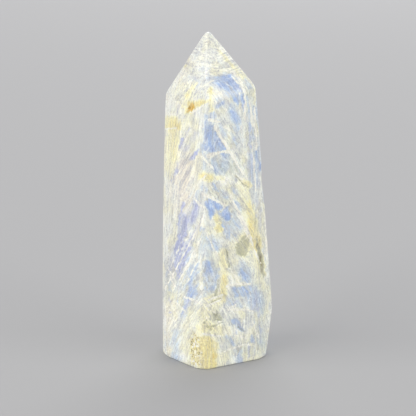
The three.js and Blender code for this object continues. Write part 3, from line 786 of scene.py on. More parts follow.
# The front's blades, stains and lines, from the crown down.
FRONT_MARKS: Marks = (
    # crown
    Blot(Tint.BLUE, ((0, 75.1), (1.1, 76.1), (2.7, 76.7), (4.3, 76.5), (5.3, 75.6), (6.3, 74),
         (7.1, 71.7), (4.8, 71.3), (2.4, 71.8), (0.5, 73.2)), 0.45, 1.2),
    *streaks(Tint.BLUE, (2.6, 74.4, 6.4, 72.6, 0.9, 0.6, 0.4, 1.2),
             (3.8, 75.6, 6.8, 72, 0.4, 0.3, 0.4, 0.6), (1.6, 73.6, 5, 72.2, 0.4, 0.4, 0.2, 0.8),
             (-1.9, 74.9, 0.8, 73.1, 0.9, 1.3, 0.26, 1.5), (8.3, 74.8, 9.1, 72.7, 0.3, 0.6, 0.4, 0.6),
             (-4.8, 77.4, 1, 77.8, 0.4, 0.4, 0.16, 0.9), (-7, 75.4, -4.4, 73.6, 0.8, 1, 0.2, 1.4)),
    *streaks(Tint.VIOLET, (2.4, 74.2, 4, 72.6, 0.4, 0.4, 0.3, 0.8),
             (-5.3, 74.9, -4.9, 74.4, 0.5, 0.4, 0.3, 0.8), (-6.2, 76.2, -5.2, 76, 0.6, 0.6, 0.2, 0.9),
             (-4.2, 72.1, -3.6, 71, 0.6, 0.5, 0.3, 0.9), (-6.4, 75.6, -3.6, 74.6, 0.5, 0.6, 0.2, 1)),
    *streaks(Tint.GOLD, (0.8, 82.8, 4.5, 78.6, 0.5, 0.5, 0.24, 0.9),
             (4.5, 78.6, 7.5, 74.8, 0.5, 0.4, 0.28, 0.8), (-2.8, 81, 1.5, 79, 1.6, 1.8, 0.08, 2.5),
             (-8.3, 79.3, -7.9, 78.5, 0.5, 0.5, 0.5, 0.5)),
    *streaks(Tint.SMOKE, (-8.3, 76.9, -3, 76.8, 0.15, 0.2, 0.16, 0.6),
             (-3, 76.8, -0.3, 76.8, 0.15, 0.12, 0.3, 0.5), (-0.9, 83.9, -0.6, 83.8, 0.3, 0.3, 0.35, 0.5),
             (-9.4, 74.9, -7.6, 75, 0.7, 0.9, 0.1, 1.2), (-9, 78, -5, 84, 0.5, 0.5, 0.12, 1),
             (-6.6, 77, -4.6, 80.6, 0.8, 0.8, 0.12, 1.4), (-2, 79.4, 2.8, 79.8, 0.2, 0.2, 0.14, 0.5),
             (-2.6, 81.6, 0.8, 81.2, 0.2, 0.2, 0.14, 0.5)),
    *streaks(Tint.PINK, (-9.5, 75, -6, 80, 1.2, 1.6, 0.5, 3)),
    *streaks(Tint.VEIN, (4.3, 77, 6.1, 75.6, 0.2, 0.2), (6.1, 75.6, 7.6, 71.6, 0.2, 0.3),
             (1.6, 77.4, 4.6, 76.8, 0.1, 0.12), (-4, 72.8, -0.6, 74.6, 0.12, 0.12)),
    # shoulder
    *blots(((0.2, 70.2), (2.4, 70.4), (2.4, 68.7), (0.3, 68.7)),
           (Tint.BLUE, 0.26, 0.4), (Tint.SMOKE, 0.1, 0.4)),
    Blot(Tint.GOLD, ((-13.6, 64.9), (-10.6, 65), (-9.2, 63.3), (-9.4, 61.5), (-13.6, 61.6)), 0.36, 0.9),
    *streaks(Tint.BLUE, (0.4, 67.5, 1.9, 68.3, 0.5, 0.6, 0.5, 0.7),
             (3.2, 71.2, 6.6, 69.8, 1, 1, 0.32, 1.2), (5.2, 69.7, 6.1, 69, 0.6, 0.7, 0.35, 0.7),
             (4.6, 66.2, 5.5, 64.1, 0.8, 1, 0.4, 1), (2.9, 68.6, 4.8, 67, 0.8, 1, 0.2, 1.5),
             (7.3, 71, 7.4, 66.3, 0.32, 0.35, 0.6, 0.6), (8.5, 71, 9, 66.5, 0.3, 0.4, 0.3, 0.6)),
    *streaks(Tint.VIOLET, (-9, 71.4, -8.7, 70.6, 0.5, 0.5, 0.3, 0.7),
             (-9.3, 70.4, -9.1, 67.5, 0.22, 0.25, 0.45, 0.6), (-6.6, 71.4, -6.9, 69, 0.4, 0.4, 0.16, 0.8),
             (4.6, 66.2, 5.3, 65, 0.6, 0.5, 0.2, 1), (7.3, 68.6, 7.4, 66.3, 0.3, 0.35, 0.35, 0.6)),
    *streaks(Tint.GOLD, (-5.3, 73.7, -7.5, 70.5, 0.6, 0.7, 0.2, 0.9),
             (-7.5, 70.5, -8.3, 67.8, 0.6, 0.5, 0.22, 0.9), (-6.9, 66.3, -6.2, 68, 0.6, 0.9, 1.1, 0.9),
             (-6.7, 67, -3.4, 69, 0.9, 0.5, 0.6, 0.9), (-5.9, 67.3, -2.7, 68.7, 0.15, 0.2, 0.3, 0.5),
             (-2.7, 68.7, -1.4, 69.6, 0.2, 0.3, 0.35, 0.5),
             (-1.4, 72.1, -1.1, 66.6, 0.45, 0.6, 0.28, 0.8), (-0.8, 71.9, 1.9, 70.7, 0.7, 0.15, 0.2, 0.6),
             (10.2, 72.4, 10.7, 68, 0.3, 0.35, 0.22, 0.6), (9, 69, 10, 62.5, 0.25, 0.3, 0.14, 0.6),
             (-11, 61.8, -10.6, 54, 1.5, 0.9, 0.24, 1.4), (-8.2, 67, -9, 62, 0.7, 0.9, 0.14, 1.2)),
    *streaks(Tint.SMOKE, (-13.2, 64.3, -11, 64.2, 0.18, 0.2, 0.14, 0.5)),
    *streaks(Tint.PINK, (-12, 70, -9.6, 67.4, 1.2, 1.4, 0.4, 2)),
    *streaks(Tint.VEIN, (-6.3, 66, -3, 68, 0.2, 0.2), (-0.6, 71.7, 2.2, 70.8, 0.35, 0.15),
             (7.9, 71.8, 7.9, 64, 0.2, 0.2), (9, 69, 10, 62.5, 0.2, 0.2),
             (-13.4, 65.5, -10.2, 65.6, 0.18, 0.18), (-13.4, 61.6, -10.4, 61.9, 0.18, 0.18)),
    # the deep blue blade
    Blot(Tint.BLUE, ((-2.8, 65.4), (-0.8, 65.2), (-0.8, 61.8), (-2.9, 61.8)), 0.45, 0.7),
    Blot(Tint.BLUE, ((-3, 62), (-0.6, 62.1), (3.3, 56.2), (1.8, 55.6), (-1.3, 55.1),
         (-3.3, 56.2)), 0.68, 0.5),
    *streaks(Tint.BLUE, (-1.3, 60.8, -1.2, 55.8, 0.5, 0.4, 0.35, 0.6),
             (-2.6, 61.2, -2.5, 58.6, 0.4, 0.3, 0.25, 0.6), (-0.4, 60.8, 0.6, 57.6, 0.5, 0.5, 0.12, 0.9),
             (-3.7, 58.2, -3.6, 55.2, 0.3, 0.3, 0.5, 0.5), (-0.5, 66, -0.1, 65, 0.5, 0.5, 0.45, 0.6),
             (1.2, 63.6, 2.6, 60.2, 0.9, 0.8, 0.22, 1.2), (5.3, 61.4, 5.5, 57.5, 1.2, 1.2, 0.22, 1.4)),
    *streaks(Tint.VIOLET, (1.5, 58.9, 2.6, 57, 0.25, 0.25, 0.45, 0.5),
             (5.7, 60.3, 4.3, 56, 0.2, 0.25, 0.6, 0.5)),
    *streaks(Tint.GOLD, (-1.6, 64.2, 1.5, 63.4, 0.4, 0.2, 0.12, 0.6)),
    *streaks(Tint.VEIN, (-1.6, 64.2, 1.5, 63.4, 0.4, 0.15), (-0.4, 62.3, 1.4, 59.7, 0.2, 0.3),
             (1.4, 59.7, 3.6, 56, 0.3, 0.35), (3.6, 56, 4.9, 54, 0.3, 0.25),
             (4.9, 54, 7.3, 49.6, 0.25, 0.28), (2.6, 62.2, 3.9, 61.4, 0.35, 0.25),
             (-1.9, 54.4, 1.9, 55.5, 0.35, 0.3), (1.9, 55.5, 4, 55.3, 0.3, 0.25),
             (-4.2, 54.9, -2, 53, 0.25, 0.2), (-2, 53, -0.3, 50.8, 0.2, 0.2)),
    # left of it
    *streaks(Tint.BLUE, (-4.4, 56, -6, 53.9, 0.25, 0.35, 0.3, 0.5)),
    *streaks(Tint.VIOLET, (-6.7, 62, -8.5, 58.9, 0.5, 0.35, 0.4, 0.9),
             (-8.5, 58.9, -9.8, 56.1, 0.35, 0.3, 0.6, 0.7), (-5.6, 60.6, -7.6, 57, 1.2, 1.5, 0.28, 2),
             (-4.2, 56.4, -6.3, 53.6, 0.25, 0.4, 0.75, 0.5), (-9.9, 55.6, -10.4, 54, 0.3, 0.3, 0.4, 0.6),
             (-10.1, 52.9, -10.3, 50.5, 0.25, 0.4, 0.5, 0.5),
             (-10.3, 50.5, -11.7, 47.5, 0.4, 0.25, 0.65, 0.5)),
    *streaks(Tint.SMOKE, (-8.8, 55.4, -6.7, 53, 0.9, 0.9, 0.14, 1.4)),
    *streaks(Tint.PINK, (-8, 52, -8.5, 44, 3, 3, 0.7, 3), (-11.5, 60, -11.8, 52, 1.5, 1.5, 0.4, 2.5)),
    # the grey-blue blade under the deep one
    Blot(Tint.BLUE, ((-1.1, 54.2), (1.9, 55.1), (4, 54.7), (3.2, 50.7), (1.9, 49),
         (-0.3, 49.2)), 0.36, 0.7),
    *streaks(Tint.BLUE, (1.8, 54.8, 2.4, 54.2, 0.5, 0.5, 0.3, 0.6),
             (0.1, 54, 0.2, 50.2, 0.3, 0.3, 0.2, 0.6)),
    *streaks(Tint.GOLD, (-3, 48.9, -1.4, 48.6, 1, 1, 0.46, 1),
             (-3.8, 49.4, -4.6, 47.4, 0.5, 0.5, 0.12, 0.8), (0.8, 48.4, 2, 48.2, 0.7, 0.7, 0.18, 0.9),
             (7.2, 48, 9, 46.9, 0.3, 0.9, 0.34, 0.7)),
    *streaks(Tint.SMOKE, (0, 53.8, 2.4, 50, 1, 0.8, 0.2, 1.2),
             (3.4, 53.8, 4.4, 50.4, 0.9, 0.9, 0.16, 1.2), (-2.4, 52.8, -1, 50, 0.8, 0.8, 0.16, 1.2),
             (7.4, 52.5, 7.6, 49.5, 0.9, 0.8, 0.1, 1.2)),
    *streaks(Tint.VEIN, (4.6, 49.6, 7.2, 48.2, 0.2, 0.2)),
    *streaks(Tint.CRACK_SHADE, (5.1, 49.4, 6.5, 47.8, 0.14, 0.14), (6.5, 47.8, 8.6, 46.1, 0.1, 0.06)),
    # middle
    Blot(Tint.BLUE, ((-3.6, 44.1), (-1.3, 43), (-0.2, 42.2), (-0.1, 39.5), (-0.9, 37.6), (-1.9, 38.4),
         (-3.3, 39.6), (-2.6, 41.4)), 0.5, 0.6),
    Blot(Tint.BLUE, ((2.1, 40.3), (3.7, 41), (4.3, 39.5), (4, 37.4), (3.1, 36.8), (2, 38.2)), 0.58, 0.6),
    Blot(Tint.VIOLET, ((-10.9, 32), (-8.5, 31.4), (-8.8, 29.4), (-9.9, 26.2), (-10.7, 23.6), (-11.8, 24),
         (-11.5, 27.2), (-10.8, 29.9)), 0.72, 0.7),
    *blots(((-4.4, 31.6), (-1.4, 30.8), (-1.3, 27.6), (-4.2, 27)),
           (Tint.BLUE, 0.16, 1.4), (Tint.SMOKE, 0.08, 1.4)),
    *streaks(Tint.BLUE, (-0.4, 46.8, 0.3, 45.4, 0.45, 0.55, 0.6, 0.5),
             (1.5, 45.2, 2.6, 44, 0.8, 0.9, 0.38, 1.2), (4.5, 47, 6, 43.8, 0.4, 0.6, 0.42, 0.9),
             (-3.4, 46.2, -2.2, 45.2, 0.6, 0.6, 0.25, 1), (-1.6, 41.2, -1.2, 38.6, 0.7, 0.7, 0.32, 0.7),
             (-0.3, 42.6, 1.1, 40.7, 0.5, 0.6, 0.6, 0.6), (0.1, 41.4, 1.3, 38.7, 0.2, 0.25, 0.4, 0.6),
             (1.3, 38.7, 2.2, 35.3, 0.25, 0.25, 0.45, 0.5), (2.2, 35.3, 3.1, 32, 0.3, 0.4, 0.45, 0.6),
             (3, 40, 3.4, 38, 0.5, 0.5, 0.2, 0.6), (5.8, 40.6, 5, 33.6, 1.5, 1.7, 0.2, 2),
             (2.8, 35.6, 4.8, 33, 1, 1.3, 0.2, 1.6), (-1.3, 32.4, 0.2, 30, 0.8, 1, 0.34, 1.2),
             (5.6, 41.8, 8, 40.6, 0.6, 0.7, 0.22, 1), (-3.8, 35.2, -3, 34.8, 0.4, 0.4, 0.35, 0.6),
             (-9.8, 31.2, -11.1, 24.8, 0.5, 0.5, 0.4, 0.9), (-12.3, 23.4, -12, 18.6, 0.6, 0.35, 0.5, 0.6),
             (-6.2, 30, -7.6, 26.4, 0.5, 0.5, 0.3, 0.8), (-2, 42.4, -0.9, 38.8, 0.5, 0.3, 0.34, 0.7),
             (2.6, 39.6, 3.6, 37.6, 0.4, 0.5, 0.3, 0.7), (-1.9, 60.4, -1.4, 55.6, 0.5, 0.8, 0.26, 0.9),
             (-2.4, 26, -0.6, 23.2, 0.7, 0.7, 0.22, 0.9)),
    *streaks(Tint.VIOLET, (5, 46.4, 5.8, 44.4, 0.3, 0.4, 0.3, 0.7),
             (-2.6, 42.2, -1.8, 40.6, 0.4, 0.3, 0.25, 0.6), (3.8, 38.6, 4.3, 38, 0.25, 0.25, 0.5, 0.5),
             (-8.4, 42, -9.9, 36.2, 0.22, 0.3, 0.6, 0.5), (-4.8, 41.4, -6.2, 37.6, 1, 1.1, 0.34, 1.6),
             (-8, 38.4, -8.8, 33.4, 0.7, 1, 0.36, 1.2), (-7.7, 37.4, -7.8, 36.4, 0.3, 0.3, 0.55, 0.5),
             (-8.2, 35.4, -8, 33.8, 0.5, 0.45, 0.6, 0.6), (-8.8, 33.6, -9.6, 31, 0.7, 0.8, 0.28, 1),
             (-9.4, 30.8, -10.4, 26.4, 0.2, 0.2, 0.3, 0.5), (-4.4, 35.8, -7.2, 29.6, 0.5, 0.6, 0.5, 0.8),
             (-7.2, 29.6, -9.2, 24.4, 0.6, 0.4, 0.45, 0.8),
             (-9.2, 24.6, -9.9, 21.6, 0.3, 0.3, 0.34, 0.7)),
    *streaks(Tint.GOLD, (0.3, 38.3, 0.9, 34.9, 0.4, 1.1, 0.46, 0.8)),
    *streaks(Tint.SMOKE, (5.8, 40.6, 5, 33.6, 1.3, 1.5, 0.1, 2), (3.6, 35.8, 5.2, 33.6, 0.8, 1, 0.1, 1.4),
             (-0.8, 32, 0, 30.4, 0.7, 0.7, 0.1, 1.2), (-2.4, 34.6, 0.6, 33.2, 0.5, 0.5, 0.14, 0.9),
             (-7.8, 38, -8.6, 34, 0.6, 0.8, 0.14, 1.2), (-11.6, 43, -11.9, 37, 0.4, 0.4, 0.14, 0.8),
             (-12.3, 23, -11.9, 19, 0.4, 0.3, 0.12, 0.7)),
    *streaks(Tint.VEIN, (-3.4, 44.3, -0.4, 43, 0.3, 0.3), (-0.4, 43, 2.8, 41.1, 0.3, 0.2),
             (-5.4, 43.1, -4.2, 41.4, 0.2, 0.25), (-4.2, 41.4, -2.6, 40.6, 0.25, 0.2),
             (4.3, 38.3, 4.4, 38.1, 0.15, 0.15), (4, 43.6, 6.6, 39, 0.2, 0.25),
             (6.6, 38.9, 8.6, 33.8, 0.3, 0.3), (5.6, 39.6, 7.2, 36, 0.15, 0.2),
             (-12.4, 24.3, -10.9, 21.8, 0.2, 0.15), (-11.9, 24.6, -8.9, 31.6, 0.02, 0.05),
             (-6.2, 35.4, -9.4, 28.2, 0.05, 0.08), (-4.6, 27, -7.4, 20.6, 0.12, 0.12),
             (-3.9, 32.2, -7.7, 24, 0.1, 0.16), (-5.3, 29.6, -9.4, 21.4, 0.1, 0.12),
             (-3.4, 38, -6.4, 31.6, 0.12, 0.12), (-13.4, 18.9, -8.2, 28.4, 0.1, 0.14),
             (-8.2, 28.4, -3.3, 37.1, 0.14, 0.16), (-5.5, 46.2, -2.5, 49.2, 0.14, 0.14),
             (-2.5, 34.7, -1.3, 31.7, 0.12, 0.14), (-1.3, 31.7, 0.5, 27.9, 0.14, 0.12),
             (7.8, 34.7, 12, 25.6, 0.12, 0.16)),
    # lower middle
    Blot(Tint.BLUE, ((-7.2, 25), (-4.6, 26.6), (-4.1, 21.4), (-4.3, 17), (-6.8, 16.6), (-8.3, 18.7),
         (-7.7, 21.9)), 0.36, 1.2),
    Blot(Tint.BLUE, ((-3.3, 26.2), (-0.3, 26.5), (1.1, 24), (0.3, 20), (-1.3, 16.6),
         (-3.3, 16.6)), 0.42, 0.8),
    Blot(Tint.BLUE, ((6.6, 26.2), (9.4, 25.8), (9.9, 22.4), (8.3, 20.5), (6, 22.2)), 0.2, 1.2),
    Blot(Tint.BLUE, ((4.5, 19.3), (8.8, 20), (9.9, 19.6), (8.3, 17.1), (5.1, 16.9)), 0.4, 0.7),
    *streaks(Tint.BLUE, (-6.4, 21.6, -6.6, 17.2, 0.5, 0.6, 0.22, 0.8),
             (-1.8, 26, -2.6, 21, 0.6, 0.5, 0.3, 0.7), (0.4, 22.6, -0.4, 18.6, 0.3, 0.3, 0.2, 0.7),
             (6.8, 24.2, 7.8, 21.2, 0.4, 0.8, 0.36, 0.8), (9.4, 26, 10.6, 22.6, 0.25, 0.3, 0.3, 0.6),
             (5.6, 18.8, 7.6, 19.2, 0.5, 0.5, 0.2, 0.8), (11, 19.6, 10.2, 15.4, 0.5, 0.8, 0.1, 1),
             (10.2, 14, 11.4, 8.4, 0.7, 0.5, 0.1, 1), (-7.2, 16.2, -8.5, 11.8, 1.2, 0.6, 0.36, 1),
             (-5.8, 18.6, -5.4, 14, 1, 1, 0.22, 1.6)),
    *streaks(Tint.VIOLET, (-7.2, 20, -6.8, 16.8, 0.5, 0.5, 0.3, 0.7),
             (-0.5, 26.4, -0.7, 24.2, 0.3, 0.4, 0.3, 0.7), (4, 14.5, 5.9, 15.8, 0.4, 0.4, 0.5, 0.6),
             (11, 19, 10.4, 13.4, 0.5, 0.8, 0.5, 1), (11.4, 14, 12.1, 4.8, 0.5, 0.3, 0.45, 0.7),
             (-7, 15.8, -8.3, 12.4, 0.9, 0.5, 0.4, 0.9), (-12, 16.3, -12, 12.8, 0.15, 0.15, 0.4, 0.5),
             (-12, 12.8, -10.1, 10.9, 0.15, 0.15, 0.4, 0.5)),
    *streaks(Tint.GOLD, (1.9, 29, 2.4, 22, 1, 0.9, 0.26, 1.2), (2.4, 22, 2.1, 16, 0.8, 0.7, 0.36, 0.9)),
    *streaks(Tint.SMOKE, (1, 21.4, 0.2, 16.9, 0.25, 0.55, 0.7, 0.6),
             (2.9, 29.2, 3.8, 24.8, 0.25, 0.3, 0.22, 0.6), (4.6, 25.8, 5.6, 23.8, 0.9, 0.9, 0.12, 1.2),
             (-12.4, 12.6, -10.9, 11.2, 0.2, 0.3, 0.2, 0.6)),
    *streaks(Tint.PINK, (1.1, 19.4, 1.4, 17.2, 0.4, 0.4, 0.9, 0.5)),
    *streaks(Tint.VEIN, (-3.9, 29.4, -3.8, 22, 0.08, 0.1), (-3.8, 22, -3.8, 14.8, 0.1, 0.1),
             (3, 19.8, 6.2, 20.3, 0.25, 0.25), (6.2, 20.3, 9.3, 20.5, 0.25, 0.15),
             (3.8, 24.6, 6.2, 21, 0.15, 0.15), (4.6, 14, 5.6, 14.8, 0.15, 0.15),
             (3, 13.3, 7.4, 13.4, 0.2, 0.25), (7.4, 13.4, 10.1, 13, 0.25, 0.2),
             (-8.6, 17.2, -5.9, 16, 0.22, 0.25), (-5.9, 16, -3.7, 15, 0.25, 0.25),
             (-1.9, 15.9, 1.9, 17.4, 0.22, 0.22), (-2.6, 14.3, 1.5, 16, 0.22, 0.2),
             (-12.8, 11.6, -11, 10.6, 0.15, 0.12), (-12.4, 23, -10.5, 19.6, 0.12, 0.15),
             (-10.5, 15.8, -7.8, 12.8, 0.12, 0.15), (9.7, 10.9, 11.6, 5.6, 0.12, 0.15),
             (-3.2, 7, 1.3, 6.4, 0.3, 0.2)),
    *streaks(Tint.CRACK_SHADE, (2.9, 29.4, 3.7, 24.8, 0.12, 0.14), (-1.2, 15.3, 1.2, 16.4, 0.1, 0.1)),
    # the foot
    Blot(Tint.SMOKE, ((-2.4, 13.8), (1.6, 15.1), (2.1, 12), (1.3, 10.3), (-0.8, 10.1),
         (-2.4, 11.2)), 0.2, 1.2),
    Blot(Tint.SMOKE, ((-0.8, 12.6), (0.6, 13), (1.2, 11.2), (0.2, 9.6), (-0.9, 10.4)), 0.3, 0.9),
    Blot(Tint.GOLD, ((-4.3, 5.9), (-1.3, 6.6), (0.9, 4.6), (0.3, -2.1), (-2.7, -2.7),
         (-4.1, -1.9)), 0.5, 1),
    Blot(Tint.ROUGH, ((-5.3, 7.8), (-4.2, 5.6), (-3.9, -1.6), (-6.6, -1.1), (-6.7, 5.1)), 1, 0.6),
    *streaks(Tint.BLUE, (5.2, 10.2, 7.5, 7.7, 1, 0.2, 0.8, 0.6),
             (3.4, 15.4, 6.6, 14.2, 0.9, 0.9, 0.28, 1.2), (3.4, 6.2, 4.8, 4.2, 0.8, 0.9, 0.34, 1),
             (5.9, 1.9, 6.8, -0.6, 1.2, 1, 0.36, 1.2), (9.8, 6.5, 9.9, 5.2, 0.45, 0.4, 0.5, 0.6),
             (-10.4, 7.4, -10.6, -0.4, 1.1, 1.4, 0.24, 1.2)),
    *streaks(Tint.VIOLET, (5.5, 9.4, 5.6, 6.8, 0.4, 0.25, 0.4, 0.6),
             (6.6, 1.2, 7.2, -0.8, 0.6, 0.6, 0.3, 0.8), (8.8, 5, 8.9, 0.6, 0.25, 0.35, 0.6, 0.5),
             (10.4, 6, 10.4, 0.4, 0.2, 0.25, 0.5, 0.5), (-9.7, 6.4, -9.8, 0.6, 0.4, 0.6, 0.2, 1.2)),
    *streaks(Tint.GOLD, (-3.8, 14, -3.4, 9, 0.9, 1.6, 0.2, 1.8), (-3.6, 8, 1, 7.4, 1.3, 1.3, 0.14, 1.6),
             (-3.2, 3.4, -0.2, 0.4, 1, 1.2, 0.14, 1.4), (-0.4, 2.5, -0.5, 0.5, 0.2, 0.2, 0.3, 0.5),
             (-3.2, 3.8, -2.4, 3.4, 0.4, 0.4, 0.24, 0.7), (7.4, 4, 7.8, -0.4, 0.4, 0.5, 0.12, 0.7)),
    *streaks(Tint.SMOKE, (0.1, 12.4, 1.5, 10.8, 0.8, 0.7, 0.42, 1),
             (-2.6, 10, -1.2, 8.2, 0.4, 0.4, 0.34, 0.6), (-3.2, 4.3, 1.6, 3, 0.5, 0.8, 0.12, 1)),
    *streaks(Tint.PINK, (-12.4, 14, -12.4, 0, 1.4, 1.6, 0.6, 2.4)),
    *streaks(Tint.VEIN, (-2.9, 12.6, -1.5, 9.6, 0.2, 0.15), (-1.9, 13.6, 0.2, 12.6, 0.15, 0.1),
             (0.6, 10, 1.9, 10.4, 0.15, 0.15), (8.9, 4.3, 9.05, 4.2, 0.3, 0.3),
             (2.2, 2.2, 8.2, 4.4, 0.15, 0.2), (5, 6.6, 8.4, 5.8, 0.15, 0.15)),
    *streaks(Tint.CRACK_SHADE, (-3.2, 10.4, -2, 9, 0.14, 0.2), (-2, 9, -1, 7.9, 0.2, 0.12),
             (-2.4, 10.9, -1.4, 9.7, 0.1, 0.1), (-1.2, 9, 0.3, 9.3, 0.16, 0.14),
             (0.3, 9.3, 1.9, 10.1, 0.14, 0.1), (-0.1, 10.7, 1.7, 10.7, 0.12, 0.08),
             (6, 8.9, 7.6, 7.6, 0.1, 0.06)),
    # right of the middle, down the ridge
    *blots(((6.4, 32), (8, 33.4), (9.1, 32), (8.9, 29.4), (7.5, 27.8), (5.6, 28.6), (4.9, 29.9)),
           (Tint.SMOKE, 0.78, 0.5), (Tint.GOLD, 0.26, 1.4)),
    *streaks(Tint.BLUE, (8.8, 62.6, 9.4, 54, 0.4, 0.6, 0.22, 0.9),
             (9.3, 63, 10, 59.2, 0.25, 0.35, 0.35, 0.6), (11, 56.4, 11.7, 51, 0.25, 0.4, 0.6, 0.6)),
    *streaks(Tint.VIOLET, (8.5, 64.6, 9.2, 57, 0.4, 0.6, 0.4, 0.8),
             (9.2, 57, 9.1, 48.4, 0.6, 0.7, 0.3, 0.9), (11.2, 51, 11.5, 46, 0.5, 0.6, 0.3, 0.9),
             (10, 54, 10.2, 47, 0.3, 0.3, 0.24, 0.7), (11.5, 42.2, 11.6, 34.6, 0.7, 0.9, 0.32, 0.9)),
    *streaks(Tint.GOLD, (9.1, 41.4, 9.9, 36, 0.8, 1.1, 0.3, 1),
             (9.9, 36, 10.8, 30.6, 1.1, 1.1, 0.32, 0.9), (10.9, 30.6, 12.6, 23.6, 1.1, 0.5, 0.24, 0.9),
             (8.9, 34.6, 10.2, 30.2, 0.4, 0.4, 0.2, 0.7), (11.4, 32.6, 13, 23, 0.6, 0.3, 0.3, 0.7),
             (8.3, 50, 9.2, 42, 0.3, 0.3, 0.14, 0.7)),
    *streaks(Tint.SMOKE, (9.9, 38, 10.9, 31, 0.4, 0.5, 0.18, 0.9),
             (10.4, 37.4, 11, 34.8, 0.4, 0.4, 0.45, 0.6),
             (10.9, 32.6, 12.9, 21.8, 0.08, 0.08, 1.2, 0.5, 0.46),
             (10, 29, 10.9, 25, 0.3, 0.3, 0.24, 0.6), (11.6, 41, 11.9, 34.4, 0.5, 0.7, 0.16, 1),
             (12.6, 20, 12.4, 12, 0.3, 0.3, 0.12, 0.7)),
    *streaks(Tint.VEIN, (8.6, 35, 10, 30.4, 0.22, 0.22), (10.3, 67.2, 10.9, 56.2, 0.18, 0.18),
             (9.8, 58, 10.7, 45, 0.18, 0.18), (12.2, 50, 12.4, 44, 0.2, 0.2),
             (13.2, 40, 13.6, 27, 0.18, 0.18)),
)

# The same for the back and for the narrow left side.
BACK_MARKS: Marks = (
    Blot(Tint.BLUE, ((-9.6, 49.8), (-7, 50.4), (-4.6, 42), (-5.6, 38.6), (-7.4, 41.6)), 0.45, 1),
    Blot(Tint.BLUE, ((-4.8, 33.6), (-1.8, 34.4), (-0.8, 26.4), (-2.6, 22.6), (-4.4, 26)), 0.5, 1),
    Blot(Tint.GOLD, ((-5.6, 6), (-3, 6.8), (-1.8, 4.2), (-2.2, -1), (-5.2, -1)), 0.4, 1.1),
    *streaks(Tint.BLUE, (-5.6, 70, -3, 50, 3, 3.4, 0.16, 3.6), (5.4, 52, 3, 32, 3, 3.6, 0.16, 3.6),
             (-9, 32, -9.4, 4, 2.4, 2.6, 0.16, 3.6), (-4.2, 79.6, -1.4, 74.4, 0.6, 1.3, 0.4, 1.2),
             (4.6, 79, 6.4, 74, 0.5, 1, 0.3, 1.2), (-9, 70, -7.4, 58.4, 1.2, 0.8, 0.4, 1.2),
             (-3, 66.4, -1.6, 56, 1.4, 0.9, 0.45, 1.1), (4.2, 68, 2.8, 60, 0.9, 1.4, 0.4, 1.2),
             (9.4, 64, 8, 51, 1.2, 0.9, 0.3, 1.4), (-1, 50, 0.6, 42.4, 1.6, 0.8, 0.4, 1),
             (5.4, 47, 4, 37, 1, 1.4, 0.5, 1), (-10.6, 34, -8, 22.4, 1.4, 0.9, 0.35, 1.2),
             (3.2, 31.4, 2, 22.4, 1.2, 0.9, 0.3, 1.2), (9.8, 36, 8.2, 26, 1, 1.3, 0.4, 1.2),
             (10.4, 20, 9.8, 6, 1.2, 1.6, 0.35, 1.4), (-8.8, 15.4, -9.6, 3, 1.3, 1.2, 0.35, 1.2),
             (-1.8, 15, -0.8, 7.4, 0.9, 1.4, 0.4, 1), (4.6, 12, 5.2, 2, 0.9, 1.2, 0.4, 1)),
    *streaks(Tint.VIOLET, (-11.4, 60, -10.4, 48, 0.4, 0.6, 0.4, 1),
             (-6.4, 62.6, -5, 53.8, 0.2, 0.5, 0.5, 0.8), (1.8, 54.4, 3, 48.2, 0.3, 0.3, 0.5, 0.8),
             (7.2, 31, 6, 20.4, 0.3, 0.5, 0.45, 0.9), (-6.6, 28.6, -5.6, 17.6, 0.4, 0.4, 0.5, 0.9),
             (11.4, 50, 10.8, 39, 0.4, 0.6, 0.4, 1)),
    *streaks(Tint.GOLD, (9.6, 62, 10.4, 42, 1.8, 1.6, 0.12, 2.6),
             (-3.8, 12, -3.2, -1, 2.4, 2.6, 0.14, 2.6), (-6, 53.6, -3.2, 52, 0.8, 0.9, 0.35, 0.9),
             (-5.4, 53.2, -4.4, 52.8, 0.3, 0.3, 0.45, 0.6), (0.4, 36.8, 1.6, 33, 0.5, 1, 0.4, 0.9),
             (6.6, 22, 7.4, 14, 0.8, 0.6, 0.32, 0.9), (1.4, 71.2, 3.6, 69.8, 0.6, 0.3, 0.3, 0.8)),
    *streaks(Tint.SMOKE, (-8, 46, -5.8, 30, 2, 2.2, 0.12, 3), (3, 61, 6, 44, 2.4, 2.4, 0.12, 3),
             (9, 16, 8, 3, 1.8, 2.2, 0.14, 2.6), (-5.8, 37.8, -4.4, 35, 0.9, 0.7, 0.4, 0.8),
             (7.2, 43.2, 8.6, 39.6, 0.4, 0.7, 0.4, 0.8)),
    *streaks(Tint.VEIN, (-10.4, 66.4, -1.6, 54.2, 0.1, 0.2), (-5.6, 59.6, 0.6, 62.4, 0.16, 0.08),
             (-7.2, 46, -0.4, 37.2, 0.14, 0.18), (9.8, 48.4, 1.4, 37.8, 0.12, 0.2),
             (-11, 39.6, -6.2, 44.4, 0.12, 0.16), (0.4, 31, 9.4, 20.6, 0.18, 0.12),
             (-9.8, 20, 0.6, 18.2, 0.14, 0.2), (-6, 11.6, 2.6, 15.8, 0.12, 0.18),
             (3.8, 8, 11.4, 12.2, 0.18, 0.12), (-2.4, 76.2, 4.8, 73.4, 0.12, 0.18),
             (6.4, 72, 9.8, 65.6, 0.14, 0.14), (4.6, 68.6, -0.6, 60, 0.12, 0.16)),
    *streaks(Tint.CRACK_SHADE, (5, 43.2, 7.2, 38.4, 0.08, 0.14), (-4.6, 24.4, -2.2, 20.6, 0.1, 0.08)),
)

